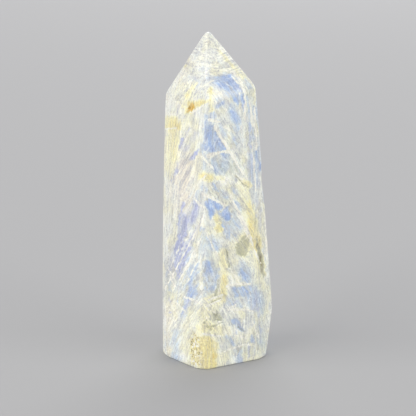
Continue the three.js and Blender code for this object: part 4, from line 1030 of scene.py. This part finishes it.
LEFT_MARKS: Marks = (
    *streaks(Tint.BLUE, (1.8, 67, 3.4, 54, 1, 1.1, 0.4, 1.4), (6.2, 45, 7.2, 32, 1.2, 0.9, 0.4, 1.4),
             (1.4, 34.6, 2.6, 22, 1, 1.3, 0.35, 1.4), (6.2, 20, 5, 8, 1.2, 1.5, 0.35, 1.4)),
    *streaks(Tint.VIOLET, (4.8, 58.6, 5.6, 47.6, 0.4, 0.5, 0.4, 1), (2.2, 20, 2, 9, 0.5, 0.6, 0.3, 1)),
    *streaks(Tint.GOLD, (3, 46.2, 4.4, 42, 0.8, 0.8, 0.3, 1), (7.6, 62.4, 7, 56, 0.8, 0.6, 0.25, 1.2)),
    *streaks(Tint.SMOKE, (3.2, 28.6, 4.4, 24.4, 0.6, 0.6, 0.3, 0.9)),
    *streaks(Tint.VEIN, (0.6, 58, 8.2, 50, 0.12, 0.18), (0.8, 30, 8.4, 38.6, 0.16, 0.12),
             (1.6, 13.8, 8.4, 18.2, 0.14, 0.16)),
)


MARKS: dict[Side, Marks] = {
    Side.FRONT: WASHES + FRONT_MARKS,
    Side.BACK: BACK_MARKS,
    Side.LEFT: LEFT_MARKS,
}


@dataclass(frozen=True)
class Sheet:
    """A flat sheet held before the stone, which a side's marks are drawn on.

    The front's sheet stands square to the viewer, and each point of the stone
    is carried to it along the line from the viewer's eye. The other two are
    plain elevations.

    Attributes:
        side: The side that it serves.
        middle_turn: Compass turn of the middle of its faces.
        half_turn: Half the range of turns of its faces.
        fade: Turn over which it fades out at either end.
        origin: The front sheet's origin, right of and above the point looked at.
    """

    side: Side
    middle_turn: float
    half_turn: float
    fade: float = 8.0
    origin: Place = (1.87, -40.6)

    def places(self, points: np.ndarray) -> np.ndarray:
        """Carries points of the stone onto the sheet.

        Args:
            points: Rows of points, in millimetres.

        Returns:
            Rows of places on the sheet, right and up.
        """
        if self.side is Side.BACK:
            return np.column_stack([-points[:, 0], points[:, 2]])
        if self.side is Side.LEFT:
            return np.column_stack([-points[:, 1], points[:, 2]])
        ahead = -facing(0.0, VIEW_ELEVATION)
        above = facing(180.0, 90.0 - VIEW_ELEVATION)
        line = points - (VIEW_AIM - VIEW_DISTANCE * ahead)
        scale = VIEW_DISTANCE / (line @ ahead)
        flat = np.column_stack([line[:, 0], line @ above]) * scale[:, None]
        return flat - np.array(self.origin)

    def share(self, outward: np.ndarray) -> np.ndarray:
        """How far each point belongs to this side, from its normal's turn.

        Args:
            outward: Rows of outward normals.

        Returns:
            0 to 1 per row.
        """
        turn = np.degrees(np.arctan2(outward[:, 0], -outward[:, 1]))
        off = np.abs((turn - self.middle_turn + 180.0) % 360.0 - 180.0)
        half_fade = 0.5 * self.fade
        return 1.0 - smooth_ramp(off, self.half_turn - half_fade, self.half_turn + half_fade)


SHEETS: tuple[Sheet, ...] = (
    Sheet(Side.FRONT, -5.0, 80.0),
    Sheet(Side.BACK, 165.0, 77.0),
    Sheet(Side.LEFT, -105.0, 20.0),
)


@dataclass(frozen=True)
class MarkSheets:
    """Every mark of the stone, and how they add up to layers.

    Attributes:
        sway: How far the edges of soft marks wander, in millimetres.
        line_sway: How far line marks wander.
        waves: Wavelengths of the coarse and of the fine wandering.
        fine_share: Height of the fine wandering beside the coarse.
        line_fade: Distance over which a line mark fades out.
        softness: Times by which a soft mark's edge is wider than its blur.
    """

    sway: float = 0.3
    line_sway: float = 0.14
    waves: tuple[float, float] = (2.6, 0.9)
    fine_share: float = 0.5
    line_fade: float = 1.2
    softness: float = 1.3

    def layers(self, points: np.ndarray, outward: np.ndarray) -> dict[str, np.ndarray]:
        """Lays all marks onto the points of the skin.

        A soft mark adds strength * ramp(half - outside / edge width); of line
        marks, the nearest counts, as 1 - outside / fade, which is 1 at its edge.

        Args:
            points: Rows of points, in millimetres.
            outward: Rows of outward normals.

        Returns:
            One array per layer by name, "wild" being what no front mark reaches.
        """
        layers = {tint: np.zeros(len(points)) for tint in Tint}
        coarse, fine = self.waves
        wobble = np.column_stack([wander(points, coarse, seed) for seed in WOBBLE_SEEDS])
        wobble += self.fine_share * np.column_stack(
            [wander(points, fine, seed) for seed in FINE_WOBBLE_SEEDS])
        for sheet in SHEETS:
            share = sheet.share(outward)
            places = sheet.places(points + self.sway * wobble)
            straight = sheet.places(points + self.line_sway * wobble)
            for mark in MARKS[sheet.side]:
                if mark.tint in LINE_TINTS:
                    line = np.clip(1.0 - mark.outside(straight) / self.line_fade, 0.0, None)
                    layers[mark.tint] = np.maximum(layers[mark.tint], line * share)
                else:
                    beyond = mark.outside(places) / (mark.blur * self.softness)
                    soft = smooth_ramp(0.5 - beyond, 0.0, 1.0)
                    layers[mark.tint] += mark.strength * soft * share
        made = {tint.value: value for tint, value in layers.items()}
        made["wild"] = 1.0 - SHEETS[0].share(outward)
        return made


class Wire:
    """What leaves one socket of a shader node, for use in Python expressions."""

    def __init__(self, bench: "NodeBench", socket: bpy.types.NodeSocket) -> None:
        """Keeps the bench that adds nodes and the socket itself."""
        self.bench = bench
        self.socket = socket

    def other(self, name: str) -> "Wire":
        """Returns another output of the same node."""
        return Wire(self.bench, self.socket.node.outputs[name])

    def __add__(self, term: "Term") -> "Wire":
        """Returns this plus term."""
        return self.bench.math("ADD", self, term)

    def __radd__(self, term: "Term") -> "Wire":
        """Returns term plus this."""
        return self.bench.math("ADD", term, self)

    def __sub__(self, term: "Term") -> "Wire":
        """Returns this less term."""
        return self.bench.math("SUBTRACT", self, term)

    def __rsub__(self, term: "Term") -> "Wire":
        """Returns term less this."""
        return self.bench.math("SUBTRACT", term, self)

    def __mul__(self, term: "Term") -> "Wire":
        """Returns this times term."""
        return self.bench.math("MULTIPLY", self, term)

    def __rmul__(self, term: "Term") -> "Wire":
        """Returns term times this."""
        return self.bench.math("MULTIPLY", term, self)


Term = Union[Wire, float]
Grains = dict[str, Wire]


@dataclass(frozen=True)
class NodeBench:
    """Adds nodes to one material's tree."""

    tree: bpy.types.NodeTree

    def node(self, kind: str, settings: dict[str, Any], sockets: dict[Any, Any],
             output: Union[int, str] = 0) -> Wire:
        """Adds a node.

        Args:
            kind: The node's type.
            settings: Its own settings, set first.
            sockets: Values or wires for its inputs, by name or number.
            output: The output wanted.

        Returns:
            That output.
        """
        made = self.tree.nodes.new(kind)
        for name, value in settings.items():
            setattr(made, name, value)
        for name, value in sockets.items():
            if isinstance(value, Wire):
                self.tree.links.new(value.socket, made.inputs[name])
            else:
                made.inputs[name].default_value = value
        return Wire(self, made.outputs[output])

    def math(self, operation: str, first: Term, second: Term = 0.0) -> Wire:
        """Returns a Math node's result on one or two numbers."""
        return self.node("ShaderNodeMath", {"operation": operation},
                         {0: first, 1: second})

    def ramp(self, value: Wire, low: float, high: float, start: float = 0.0,
             end: float = 1.0) -> Wire:
        """Returns value carried smoothly from low..high to start..end."""
        return self.node("ShaderNodeMapRange", {"interpolation_type": "SMOOTHSTEP"},
                         {"Value": value, "From Min": low, "From Max": high,
                          "To Min": start, "To Max": end})

    def vector(self, operation: str, first: Any, second: Any = (0.0, 0.0, 0.0),
               output: str = "Vector") -> Wire:
        """Returns a Vector Math node's result on two vectors."""
        return self.node("ShaderNodeVectorMath", {"operation": operation},
                         {0: first, 1: second}, output)

    def scaled(self, vector: Wire, factor: Term) -> Wire:
        """Returns the vector times a number."""
        return self.node("ShaderNodeVectorMath", {"operation": "SCALE"},
                         {0: vector, "Scale": factor})

    def part(self, vector: Wire, axis: int) -> Wire:
        """Returns one number of a vector or colour, by its place in it."""
        return self.node("ShaderNodeSeparateXYZ", {}, {0: vector}, axis)

    def noise(self, place: Wire, scale: float = 1.0, detail: float = 2.0,
              output: str = "Fac") -> Wire:
        """Returns smooth noise of that many waves per unit."""
        return self.node("ShaderNodeTexNoise", {},
                         {"Vector": place, "Scale": scale, "Detail": detail}, output)

    def shaken(self, place: Wire, scale: float, amount: float) -> Wire:
        """Returns the place moved about by noise of that many waves per unit."""
        drift = self.vector("SUBTRACT", self.noise(place, scale, output="Color"),
                            (0.5, 0.5, 0.5))
        return self.vector("ADD", place, self.scaled(drift, amount))

    def drawn_out(self, place: Wire, along: Wire, width: float, length: float) -> Wire:
        """Draws space out along a direction, so that a pattern turns into fibres.

        It is place/width - along * (place . along) * (1/width - 1/length).

        Args:
            place: Place in the stone.
            along: Unit direction.
            width: Width of one unit of pattern.
            length: Its length along the direction.

        Returns:
            The drawn-out place.
        """
        run = self.vector("DOT_PRODUCT", place, along, "Value")
        back = self.scaled(along, run * (1.0 / width - 1.0 / length))
        return self.vector("SUBTRACT", self.scaled(place, 1.0 / width), back)

    def threads(self, place: Wire, along: Wire, width: float, length: float,
                thinness: float) -> Wire:
        """Draws wavy threads, where a drawn-out noise passes its middle.

        Args:
            place: Place in the stone.
            along: Unit direction that they run in.
            width: Width of one unit of the noise.
            length: Its length along the direction.
            thinness: How far from its middle the noise may be on a thread.

        Returns:
            1 along each thread, down to 0 beside it.
        """
        off = self.noise(self.drawn_out(place, along, width, length)) - 0.5
        return self.ramp(self.math("ABSOLUTE", off), 0.0, thinness, 1.0, 0.0)

    def cells(self, place: Wire, feature: str, output: str) -> Wire:
        """Returns an output of a Voronoi pattern of one cell per unit."""
        return self.node("ShaderNodeTexVoronoi", {"feature": feature},
                         {"Vector": place, "Scale": 1.0}, output)

    def layer(self, name: str) -> Wire:
        """Returns a number painted on the mesh's points."""
        return self.node("ShaderNodeAttribute", {"attribute_name": name}, {}, "Fac")

    def mixed(self, share: Term, below: Any, above: Any, blend: str = "MIX") -> Wire:
        """Returns two colours mixed by share."""
        colours = [value if isinstance(value, Wire) else (*value, 1.0)
                   for value in (below, above)]
        return self.node("ShaderNodeMix", {"data_type": "RGBA", "blend_type": blend},
                         {0: share, 6: colours[0], 7: colours[1]}, 2)

    def coated(self, colour: Any, *coats: tuple[Term, Colour]) -> Wire:
        """Returns the colour under coats of other colours, each laid on by its share."""
        for share, tint in coats:
            colour = self.mixed(share, colour, tint)
        return colour


def uneven(grain: Grains, **weights: float) -> Term:
    """Adds up how far grains are from their middle.

    Args:
        grain: Numbers from 0 to 1 by name.
        weights: Weight of each grain that counts, by its name.

    Returns:
        The sum of (grain - 1/2) * weight.
    """
    total: Term = 0.0
    for name, weight in weights.items():
        total = total + (grain[name] - 0.5) * weight
    return total


@dataclass(frozen=True)
class KyaniteFinish:
    """Polished kyanite: blue blades in white stone, stained gold, under a fine lace.

    Colours are linear. Lengths are millimetres. A lean is how far fibres go
    sideways for each unit upwards. A size is a grain's width and the length that
    it is drawn out to along its blade, and for threads also their thinness.

    Attributes:
        blade: Width, depth and height of a blade.
        sway: Waves per unit and range of the slow bending of blades.
        wave: The same for the quick bending of threads.
        leans: Lean of the front's fibres left and right of the front edge.
        own_lean: Range of the lean that each blade has of its own.
        cross_lean: Range of the lean of the threads that cross the blades.
        crown_lean: Lean in the crown.
        crown_rise: How far upwards fibres go in the crown.
        crown_from: Heights over which the crown's fibres take over.
        crown_tear: How ragged that border is.
        fibre: Size of the fine fibres.
        strand: Size of the bundles that they lie in.
        splinter: Size of the flakes of one shade.
        thread: Size of the pale threads.
        weft: Size of the pale threads that cross them.
        hair: Size of the dark threads.
        pit: Distance between the pits of rough places.
    """

    stone: Colour = (0.66, 0.70, 0.68)
    white: Colour = (0.92, 0.93, 0.82)
    cream: Colour = (0.92, 0.90, 0.68)
    pink: Colour = (0.88, 0.82, 0.70)
    pale_blue: Colour = (0.57, 0.66, 0.77)
    deep_blue: Colour = (0.36, 0.49, 0.77)
    violet: Colour = (0.46, 0.50, 0.72)
    yellow: Colour = (0.95, 0.91, 0.60)
    gold: Colour = (0.87, 0.77, 0.38)
    orange: Colour = (0.76, 0.50, 0.10)
    olive: Colour = (0.48, 0.49, 0.36)
    brown: Colour = (0.30, 0.25, 0.13)
    # Painted shade inside cracks and chips.
    shadow: Colour = (0.27, 0.28, 0.19)
    tan: Colour = (0.42, 0.36, 0.17)
    lace: Colour = (0.97, 0.955, 0.84)
    glint: Colour = (0.62, 0.6, 0.5)
    blade: tuple[float, float, float] = (6.0, 6.0, 18.0)
    sway: tuple[float, float] = (0.21, 3.0)
    wave: tuple[float, float] = (0.7, 0.9)
    leans: tuple[float, float] = (0.65, -0.48)
    own_lean: float = 0.6
    cross_lean: float = 2.2
    crown_lean: float = 3.0
    crown_rise: float = 0.15
    crown_from: tuple[float, float] = (77.2, 78.0)
    crown_tear: float = 5.0
    fibre: tuple[float, float] = (0.5, 8.0)
    strand: tuple[float, float] = (1.5, 13.0)
    splinter: tuple[float, float] = (2.4, 9.0)
    thread: tuple[float, float, float] = (1.4, 14.0, 0.055)
    weft: tuple[float, float, float] = (1.7, 12.0, 0.045)
    hair: tuple[float, float, float] = (1.0, 10.0, 0.08)
    pit: float = 0.62

    def build(self) -> bpy.types.Material:
        """Builds the material.

        Returns:
            The material.
        """
        material = bpy.data.materials.new("kyanite")
        material.use_nodes = True
        bench = NodeBench(material.node_tree)
        shader = material.node_tree.nodes["Principled BSDF"]
        place = bench.scaled(bench.node("ShaderNodeTexCoord", {}, {}, "Object"), 1.0 / MM)
        grain = self.grains(bench, place)
        pits = grain["dots"] * bench.layer("rough")
        rough = (0.24 + grain["speck"] * 0.16) + pits * 0.5
        height = (grain["fibre"] * 0.5 + grain["lace"] * 0.35) - pits * 4.0
        bump = bench.node("ShaderNodeBump", {},
                          {"Strength": 0.5, "Distance": 0.05 * MM, "Height": height},
                          "Normal")
        varying = {"Base Color": self.colour(bench, place, grain), "Roughness": rough,
                   "Normal": bump}
        for name, wire in varying.items():
            bench.tree.links.new(wire.socket, shader.inputs[name])
        shader.inputs["Subsurface Weight"].default_value = 0.3
        shader.inputs["Subsurface Radius"].default_value = (1.0, 0.9, 0.8)
        shader.inputs["Subsurface Scale"].default_value = 1.2 * MM
        shader.inputs["IOR"].default_value = 1.6
        shader.inputs["Coat Weight"].default_value = 0.25
        shader.inputs["Coat Roughness"].default_value = 0.12
        return material

    def upward(self, bench: NodeBench, chance: Wire, height: Wire,
               in_crown: Wire) -> Wire:
        """Works out the direction in which a blade's fibres run.

        It is upright plus a lean round the stone's axis, so that fibres lie
        along the skin. Each blade has a lean of its own. On the front they also
        fan out from the front edge, less near the foot and on the far right. In
        the crown the fibres are nearly level.

        Args:
            bench: Where nodes are added.
            chance: The blade's random colour, from the node that gives its middle.
            height: Height in the stone.
            in_crown: 1 in the crown and 0 below it.

        Returns:
            A unit vector, nearly the same all over one blade.
        """
        middle = bench.vector("MULTIPLY", chance.other("Position"), (1.0, 1.0, 0.0))
        radial = bench.vector("NORMALIZE", middle)
        around = bench.vector("CROSS_PRODUCT", (0.0, 0.0, 1.0), radial)
        right, behind = bench.part(radial, 0), bench.part(radial, 1)
        fan = bench.ramp(right, -0.5, -0.1, *self.leans)
        fan = fan * (bench.ramp(behind, -0.3, 0.1, 1.0, 0.0)
                     * bench.ramp(right, 0.6, 0.85, 1.0, 0.25)
                     * bench.ramp(height, -4.0, 30.0, 0.3, 1.0))
        lean = fan + (bench.part(chance, 0) - 0.5) * self.own_lean
        rise = 1.0 - in_crown * (1.0 - self.crown_rise)
        steep = bench.node("ShaderNodeCombineXYZ", {}, {2: rise})
        sideways = bench.scaled(around, lean + in_crown * self.crown_lean)
        return bench.vector("NORMALIZE", bench.vector("ADD", sideways, steep))

    def grains(self, bench: NodeBench, place: Wire) -> Grains:
        """Works out the stone's build: blades, and the grains drawn out along each.

        Args:
            bench: Where nodes are added.
            place: Place in the stone.

        Returns:
            Numbers by name, from 0 to 1, or a little over where lace crosses:
            fibre, strand, splinter and chance shade the blades, patch, curd and
            speck are coarse, middling and fine noise, lace, seam and hair are
            lines, bands are the crown's level bands, and dots are pits.
        """
        swayed, waved = bench.shaken(place, *self.sway), bench.shaken(place, *self.wave)
        torn = bench.scaled(bench.vector("SUBTRACT", waved, place), self.crown_tear)
        height = bench.part(bench.vector("ADD", swayed, torn), 2)
        in_crown = bench.ramp(height, *self.crown_from)
        cell_place = bench.vector("DIVIDE", swayed, self.blade)
        chance = bench.cells(cell_place, "F1", "Color")
        upward = self.upward(bench, chance, height, in_crown)
        across = bench.vector("MULTIPLY", bench.vector("SUBTRACT", chance, (0.5, 0.5, 0.5)),
                              (-self.cross_lean, -self.cross_lean, 0.0))
        crossing = bench.vector("NORMALIZE", bench.vector("ADD", across, upward))
        fibre = bench.noise(bench.drawn_out(place, upward, *self.fibre))
        strand = bench.noise(bench.drawn_out(place, upward, *self.strand))
        splinter = bench.drawn_out(swayed, upward, *self.splinter)
        thread = bench.threads(waved, upward, *self.thread)
        weft = bench.threads(waved, crossing, *self.weft)
        seam = bench.cells(cell_place, "DISTANCE_TO_EDGE", "Distance")
        patch = bench.ramp(bench.noise(place, 0.33), 0.35, 0.65)
        bands = bench.noise(bench.vector("MULTIPLY", waved, (0.12, 0.12, 1.5)))
        pits = bench.cells(bench.scaled(place, 1.0 / self.pit), "F1", "Distance")
        return {
            "fibre": bench.ramp(fibre, 0.3, 0.7),
            "strand": bench.ramp(strand, 0.3, 0.7),
            "splinter": bench.part(bench.cells(splinter, "F1", "Color"), 0),
            "chance": bench.part(chance, 2),
            "patch": patch,
            "curd": bench.ramp(bench.noise(place, 1.0, 3.0), 0.3, 0.7),
            "speck": bench.ramp(bench.noise(place, 2.6), 0.3, 0.7),
            "lace": thread * (0.4 + patch * 0.6) + weft * (0.9 - patch * 0.6),
            "seam": bench.ramp(seam, 0.01, 0.05, 1.0, 0.0) * (1.0 - patch),
            "hair": bench.threads(waved, upward, *self.hair),
            "bands": bench.ramp(bands, 0.3, 0.7) * in_crown,
            "dots": bench.ramp(pits, 0.2, 0.5, 1.0, 0.0),
        }

    def stains(self, bench: NodeBench, blotch: Wire, grain: Grains) -> Grains:
        """Works out how much of each stain there is.

        Each painted layer is broken up by the grain, the more so the stronger it
        is. Where no mark is painted, blades turn blue, violet and gold by chance.

        Args:
            bench: Where nodes are added.
            blotch: A noise of large blotches.
            grain: Numbers from grains().

        Returns:
            Amounts by name: blue, violet, gold and smoke.
        """
        broken = uneven(grain, fibre=0.4, strand=0.8, curd=0.15)
        wild = bench.layer("wild")
        wild_blue = bench.ramp(grain["strand"] * 0.5 + grain["chance"] * 0.6, 0.4, 0.95)
        blue = 0.03 + bench.layer("blue") * 0.92 + wild * wild_blue * 0.36
        blue = blue + broken * (0.16 + blue * 0.8) + uneven(grain, chance=0.16, splinter=0.22)
        violet = bench.layer("violet") + wild * bench.ramp(grain["chance"], 0.7, 0.95) * 0.2
        violet = violet + broken * (0.16 + violet * 0.5)
        gold = (bench.layer("gold") * 1.2 + wild * bench.ramp(blotch, 0.62, 0.75) * 0.3
                + bench.layer("rough") * 0.4)
        gold = gold + ((grain["speck"] - 0.5) * 0.2 + broken * 0.4) * gold
        smoke = bench.layer("smoke")
        smoke = smoke + broken * smoke * 0.6
        return {"blue": blue, "violet": violet, "gold": gold, "smoke": smoke}

    def colour(self, bench: NodeBench, place: Wire, grain: Grains) -> Wire:
        """Mixes the stone's colours from its stains and its grain.

        The stains are laid over the ground colours as coats, the stronger tint of
        a stain over the weaker one. Lace and veins follow, then cracks darkened with
        painted shade, a faint painted highlight along the edges, and rough places
        with white specks painted as glints and tan dots in their pits. Last, the
        grain shades all of it, its blue by less.

        Args:
            bench: Where nodes are added.
            place: Place in the stone.
            grain: Numbers from grains().

        Returns:
            The colour.
        """
        blotch = bench.noise(place, 0.16, 3.0)
        ground = 0.75 + uneven(grain, patch=0.35, strand=0.3, fibre=0.1)
        stain = self.stains(bench, blotch, grain)
        colour = bench.coated(
            self.white,
            (bench.ramp(blotch, 0.42, 0.6), self.cream),
            (bench.layer("pink") * 0.8, self.pink),
            (bench.ramp(ground, 0.0, 1.0, 1.0, 0.0), self.stone),
            (bench.ramp(stain["blue"], 0.0, 0.6), self.pale_blue),
            (bench.ramp(stain["blue"], 0.35, 1.2), self.deep_blue),
            (bench.ramp(stain["violet"], 0.1, 0.9), self.violet),
            (bench.ramp(stain["gold"], 0.05, 0.4), self.yellow),
            (bench.ramp(stain["gold"], 0.35, 0.8), self.gold),
            (bench.ramp(stain["gold"], 1.05, 1.5), self.orange),
            (bench.ramp(stain["smoke"], 0.0, 0.9, 0.0, 0.85), self.olive),
            (bench.ramp(stain["smoke"], 0.8, 1.5), self.brown),
            (grain["hair"] * 0.1, self.violet),
        )
        lace = bench.ramp(grain["lace"] * 0.5 + grain["seam"] * 0.3, 0.0, 1.0, 0.0, 0.8)
        colour = bench.mixed(lace, colour, self.glint, "SCREEN")
        ragged = uneven(grain, curd=0.2)
        # Painted shade along cracks and chips, with ragged edges.
        crack_shade = bench.layer("crack_shade") + ragged * 0.5
        rough = bench.layer("rough")
        colour = bench.coated(
            colour,
            (bench.ramp(bench.layer("vein") + ragged, 0.84, 1.1, 0.0, 0.95), self.lace),
            (bench.ramp(crack_shade, 0.84, 1.04, 0.0, 0.6), self.shadow),
            # A faint painted highlight along the stone's edges.
            (bench.layer("edge") * 0.08, self.lace),
            # In rough places, white specks are painted glints; tan dots lie in the pits.
            (rough * bench.ramp(grain["curd"], 0.5, 0.7), self.lace),
            (rough * grain["dots"] * 0.9, self.tan),
        )
        tone = 1.0 + uneven(grain, speck=0.12, fibre=0.23, strand=0.17, splinter=0.15, curd=0.1)
        tone = tone + grain["lace"] * 0.12 - grain["hair"] * 0.13 - grain["bands"] * 0.1
        cooler = 0.25 + tone * 0.75
        shade = bench.node("ShaderNodeCombineColor", {}, {0: tone, 1: tone, 2: cooler})
        return bench.mixed(1.0, colour, shade, "MULTIPLY")


@dataclass(frozen=True)
class PaperFinish:
    """The floor's plain pale matt finish."""

    tint: Colour = (0.42, 0.42, 0.43)
    roughness: float = 0.9

    def build(self) -> bpy.types.Material:
        """Builds the material.

        Returns:
            The material.
        """
        material = bpy.data.materials.new("floor_paper")
        material.use_nodes = True
        shader = material.node_tree.nodes["Principled BSDF"]
        shader.inputs["Base Color"].default_value = (*self.tint, 1.0)
        shader.inputs["Roughness"].default_value = self.roughness
        return material


@dataclass(frozen=True)
class Lamp:
    """One square soft light aimed at the middle of the stone.

    Attributes:
        name: Its name.
        place: Its place, in metres.
        width: Its width, in metres.
        watts: Its power.
        tint: Its colour.
        aim: Point that it is aimed at, in metres.
    """

    name: str
    place: tuple[float, float, float]
    width: float
    watts: float
    tint: Colour
    aim: tuple[float, float, float] = (0.0, 0.0, 0.045)

    def build(self) -> bpy.types.Object:
        """Makes the light.

        Returns:
            The light object.
        """
        data = bpy.data.lights.new(self.name, "AREA")
        data.shape, data.size = "SQUARE", self.width
        data.energy, data.color = self.watts, self.tint
        light = bpy.data.objects.new(self.name, data)
        light.location = self.place
        towards = Vector(self.aim) - Vector(self.place)
        light.rotation_euler = towards.to_track_quat("-Z", "Y").to_euler()
        bpy.context.scene.collection.objects.link(light)
        return light


LAMPS: tuple[Lamp, ...] = (
    Lamp("key", (-1.3, -0.75, 0.6), 1.6, 18.0, (1.0, 0.99, 0.97)),
    Lamp("fill", (1.35, -0.75, 0.45), 1.3, 12.5, (1.0, 1.0, 0.98)),
    Lamp("rim", (0.2, 1.2, 0.8), 1.2, 8.0, (1.0, 1.0, 1.0)),
)


@dataclass(frozen=True)
class Studio:
    """Pale floor, soft lights and the camera.

    Attributes:
        lens: Focal length, in millimetres on the sensor below.
        sensor: Sensor width, in millimetres.
        near_and_far: Distances from the camera between which things are drawn.
        floor_half: Half width of the floor, in metres.
        glow: Brightness of the plain surroundings.
        glow_strength: Times by which they light the scene.
    """

    lens: float = 149.4
    sensor: float = 36.0
    near_and_far: tuple[float, float] = (0.01, 50.0)
    floor_half: float = 6.0
    glow: float = 0.6
    glow_strength: float = 1.05

    def eye(self) -> np.ndarray:
        """Returns the camera's place, in millimetres."""
        return VIEW_AIM + VIEW_DISTANCE * facing(0.0, VIEW_ELEVATION)

    def camera(self) -> bpy.types.Object:
        """Makes the camera and gives it to the scene.

        Returns:
            The camera object.
        """
        data = bpy.data.cameras.new("camera")
        data.lens, data.sensor_width = self.lens, self.sensor
        data.clip_start, data.clip_end = self.near_and_far
        camera = bpy.data.objects.new("camera", data)
        camera.location = Vector(self.eye() * MM)
        camera.rotation_euler = (math.radians(90.0 - VIEW_ELEVATION), 0.0, 0.0)
        bpy.context.scene.collection.objects.link(camera)
        bpy.context.scene.camera = camera
        return camera

    def floor(self) -> bpy.types.Object:
        """Lays the floor.

        Returns:
            The floor's object.
        """
        half = self.floor_half
        mesh = bpy.data.meshes.new("floor")
        mesh.from_pydata([(-half, -half, 0.0), (half, -half, 0.0),
                          (half, half, 0.0), (-half, half, 0.0)], [], [(0, 1, 2, 3)])
        floor = bpy.data.objects.new("floor", mesh)
        bpy.context.scene.collection.objects.link(floor)
        mesh.materials.append(PaperFinish().build())
        return floor

    def build(self) -> None:
        """Lays the floor, hangs the lights and sets the plain surroundings."""
        self.floor()
        for lamp in LAMPS:
            lamp.build()
        world = bpy.data.worlds.new("surroundings")
        world.use_nodes = True
        backdrop = world.node_tree.nodes["Background"]
        backdrop.inputs["Color"].default_value = (self.glow, self.glow, self.glow, 1.0)
        backdrop.inputs["Strength"].default_value = self.glow_strength
        bpy.context.scene.world = world
        bpy.context.scene.view_settings.view_transform = "Standard"


@dataclass
class KyanitePoint:
    """The stone: its skin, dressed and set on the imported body."""

    form: StoneForm = field(default_factory=StoneForm)
    marks: MarkSheets = field(default_factory=MarkSheets)
    finish: KyaniteFinish = field(default_factory=KyaniteFinish)

    def build(self) -> bpy.types.Object:
        """Builds the stone in place of the solid kyanite_point.

        Returns:
            The stone's object.
        """
        points, outward, edge = self.form.skin()
        low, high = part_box("kyanite_point")
        mesh = bpy.data.meshes.new("polished_stone")
        mesh.from_pydata(self.form.fit(points, low, high).tolist(), [],
                         self.form.faces(len(points)))
        mesh.shade_smooth()
        mesh.update()
        layers = self.marks.layers(points, outward)
        # Nearness to an edge, which the finish turns into a faint painted highlight.
        layers["edge"] = edge
        for name, values in layers.items():
            layer = mesh.attributes.new(name, "FLOAT", "POINT")
            layer.data.foreach_set("value", values.astype(np.float32))
        mesh.materials.append(self.finish.build())
        stone = bpy.data.objects.new("polished_stone", mesh)
        bpy.context.scene.collection.objects.link(stone)
        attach(stone, "root")
        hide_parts("kyanite_point")
        return stone


def main() -> None:
    """Builds the stone and its studio in order."""
    logging.basicConfig(level=logging.INFO, format="%(name)s: %(message)s")
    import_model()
    stone = KyanitePoint().build()
    LOG.info("%s: %d points, %d faces", stone.name, len(stone.data.vertices),
             len(stone.data.polygons))
    studio = Studio()
    studio.build()
    studio.camera()
    LOG.info("studio: camera at %s", studio.eye().round(1))


if __name__ == "__main__":
    main()
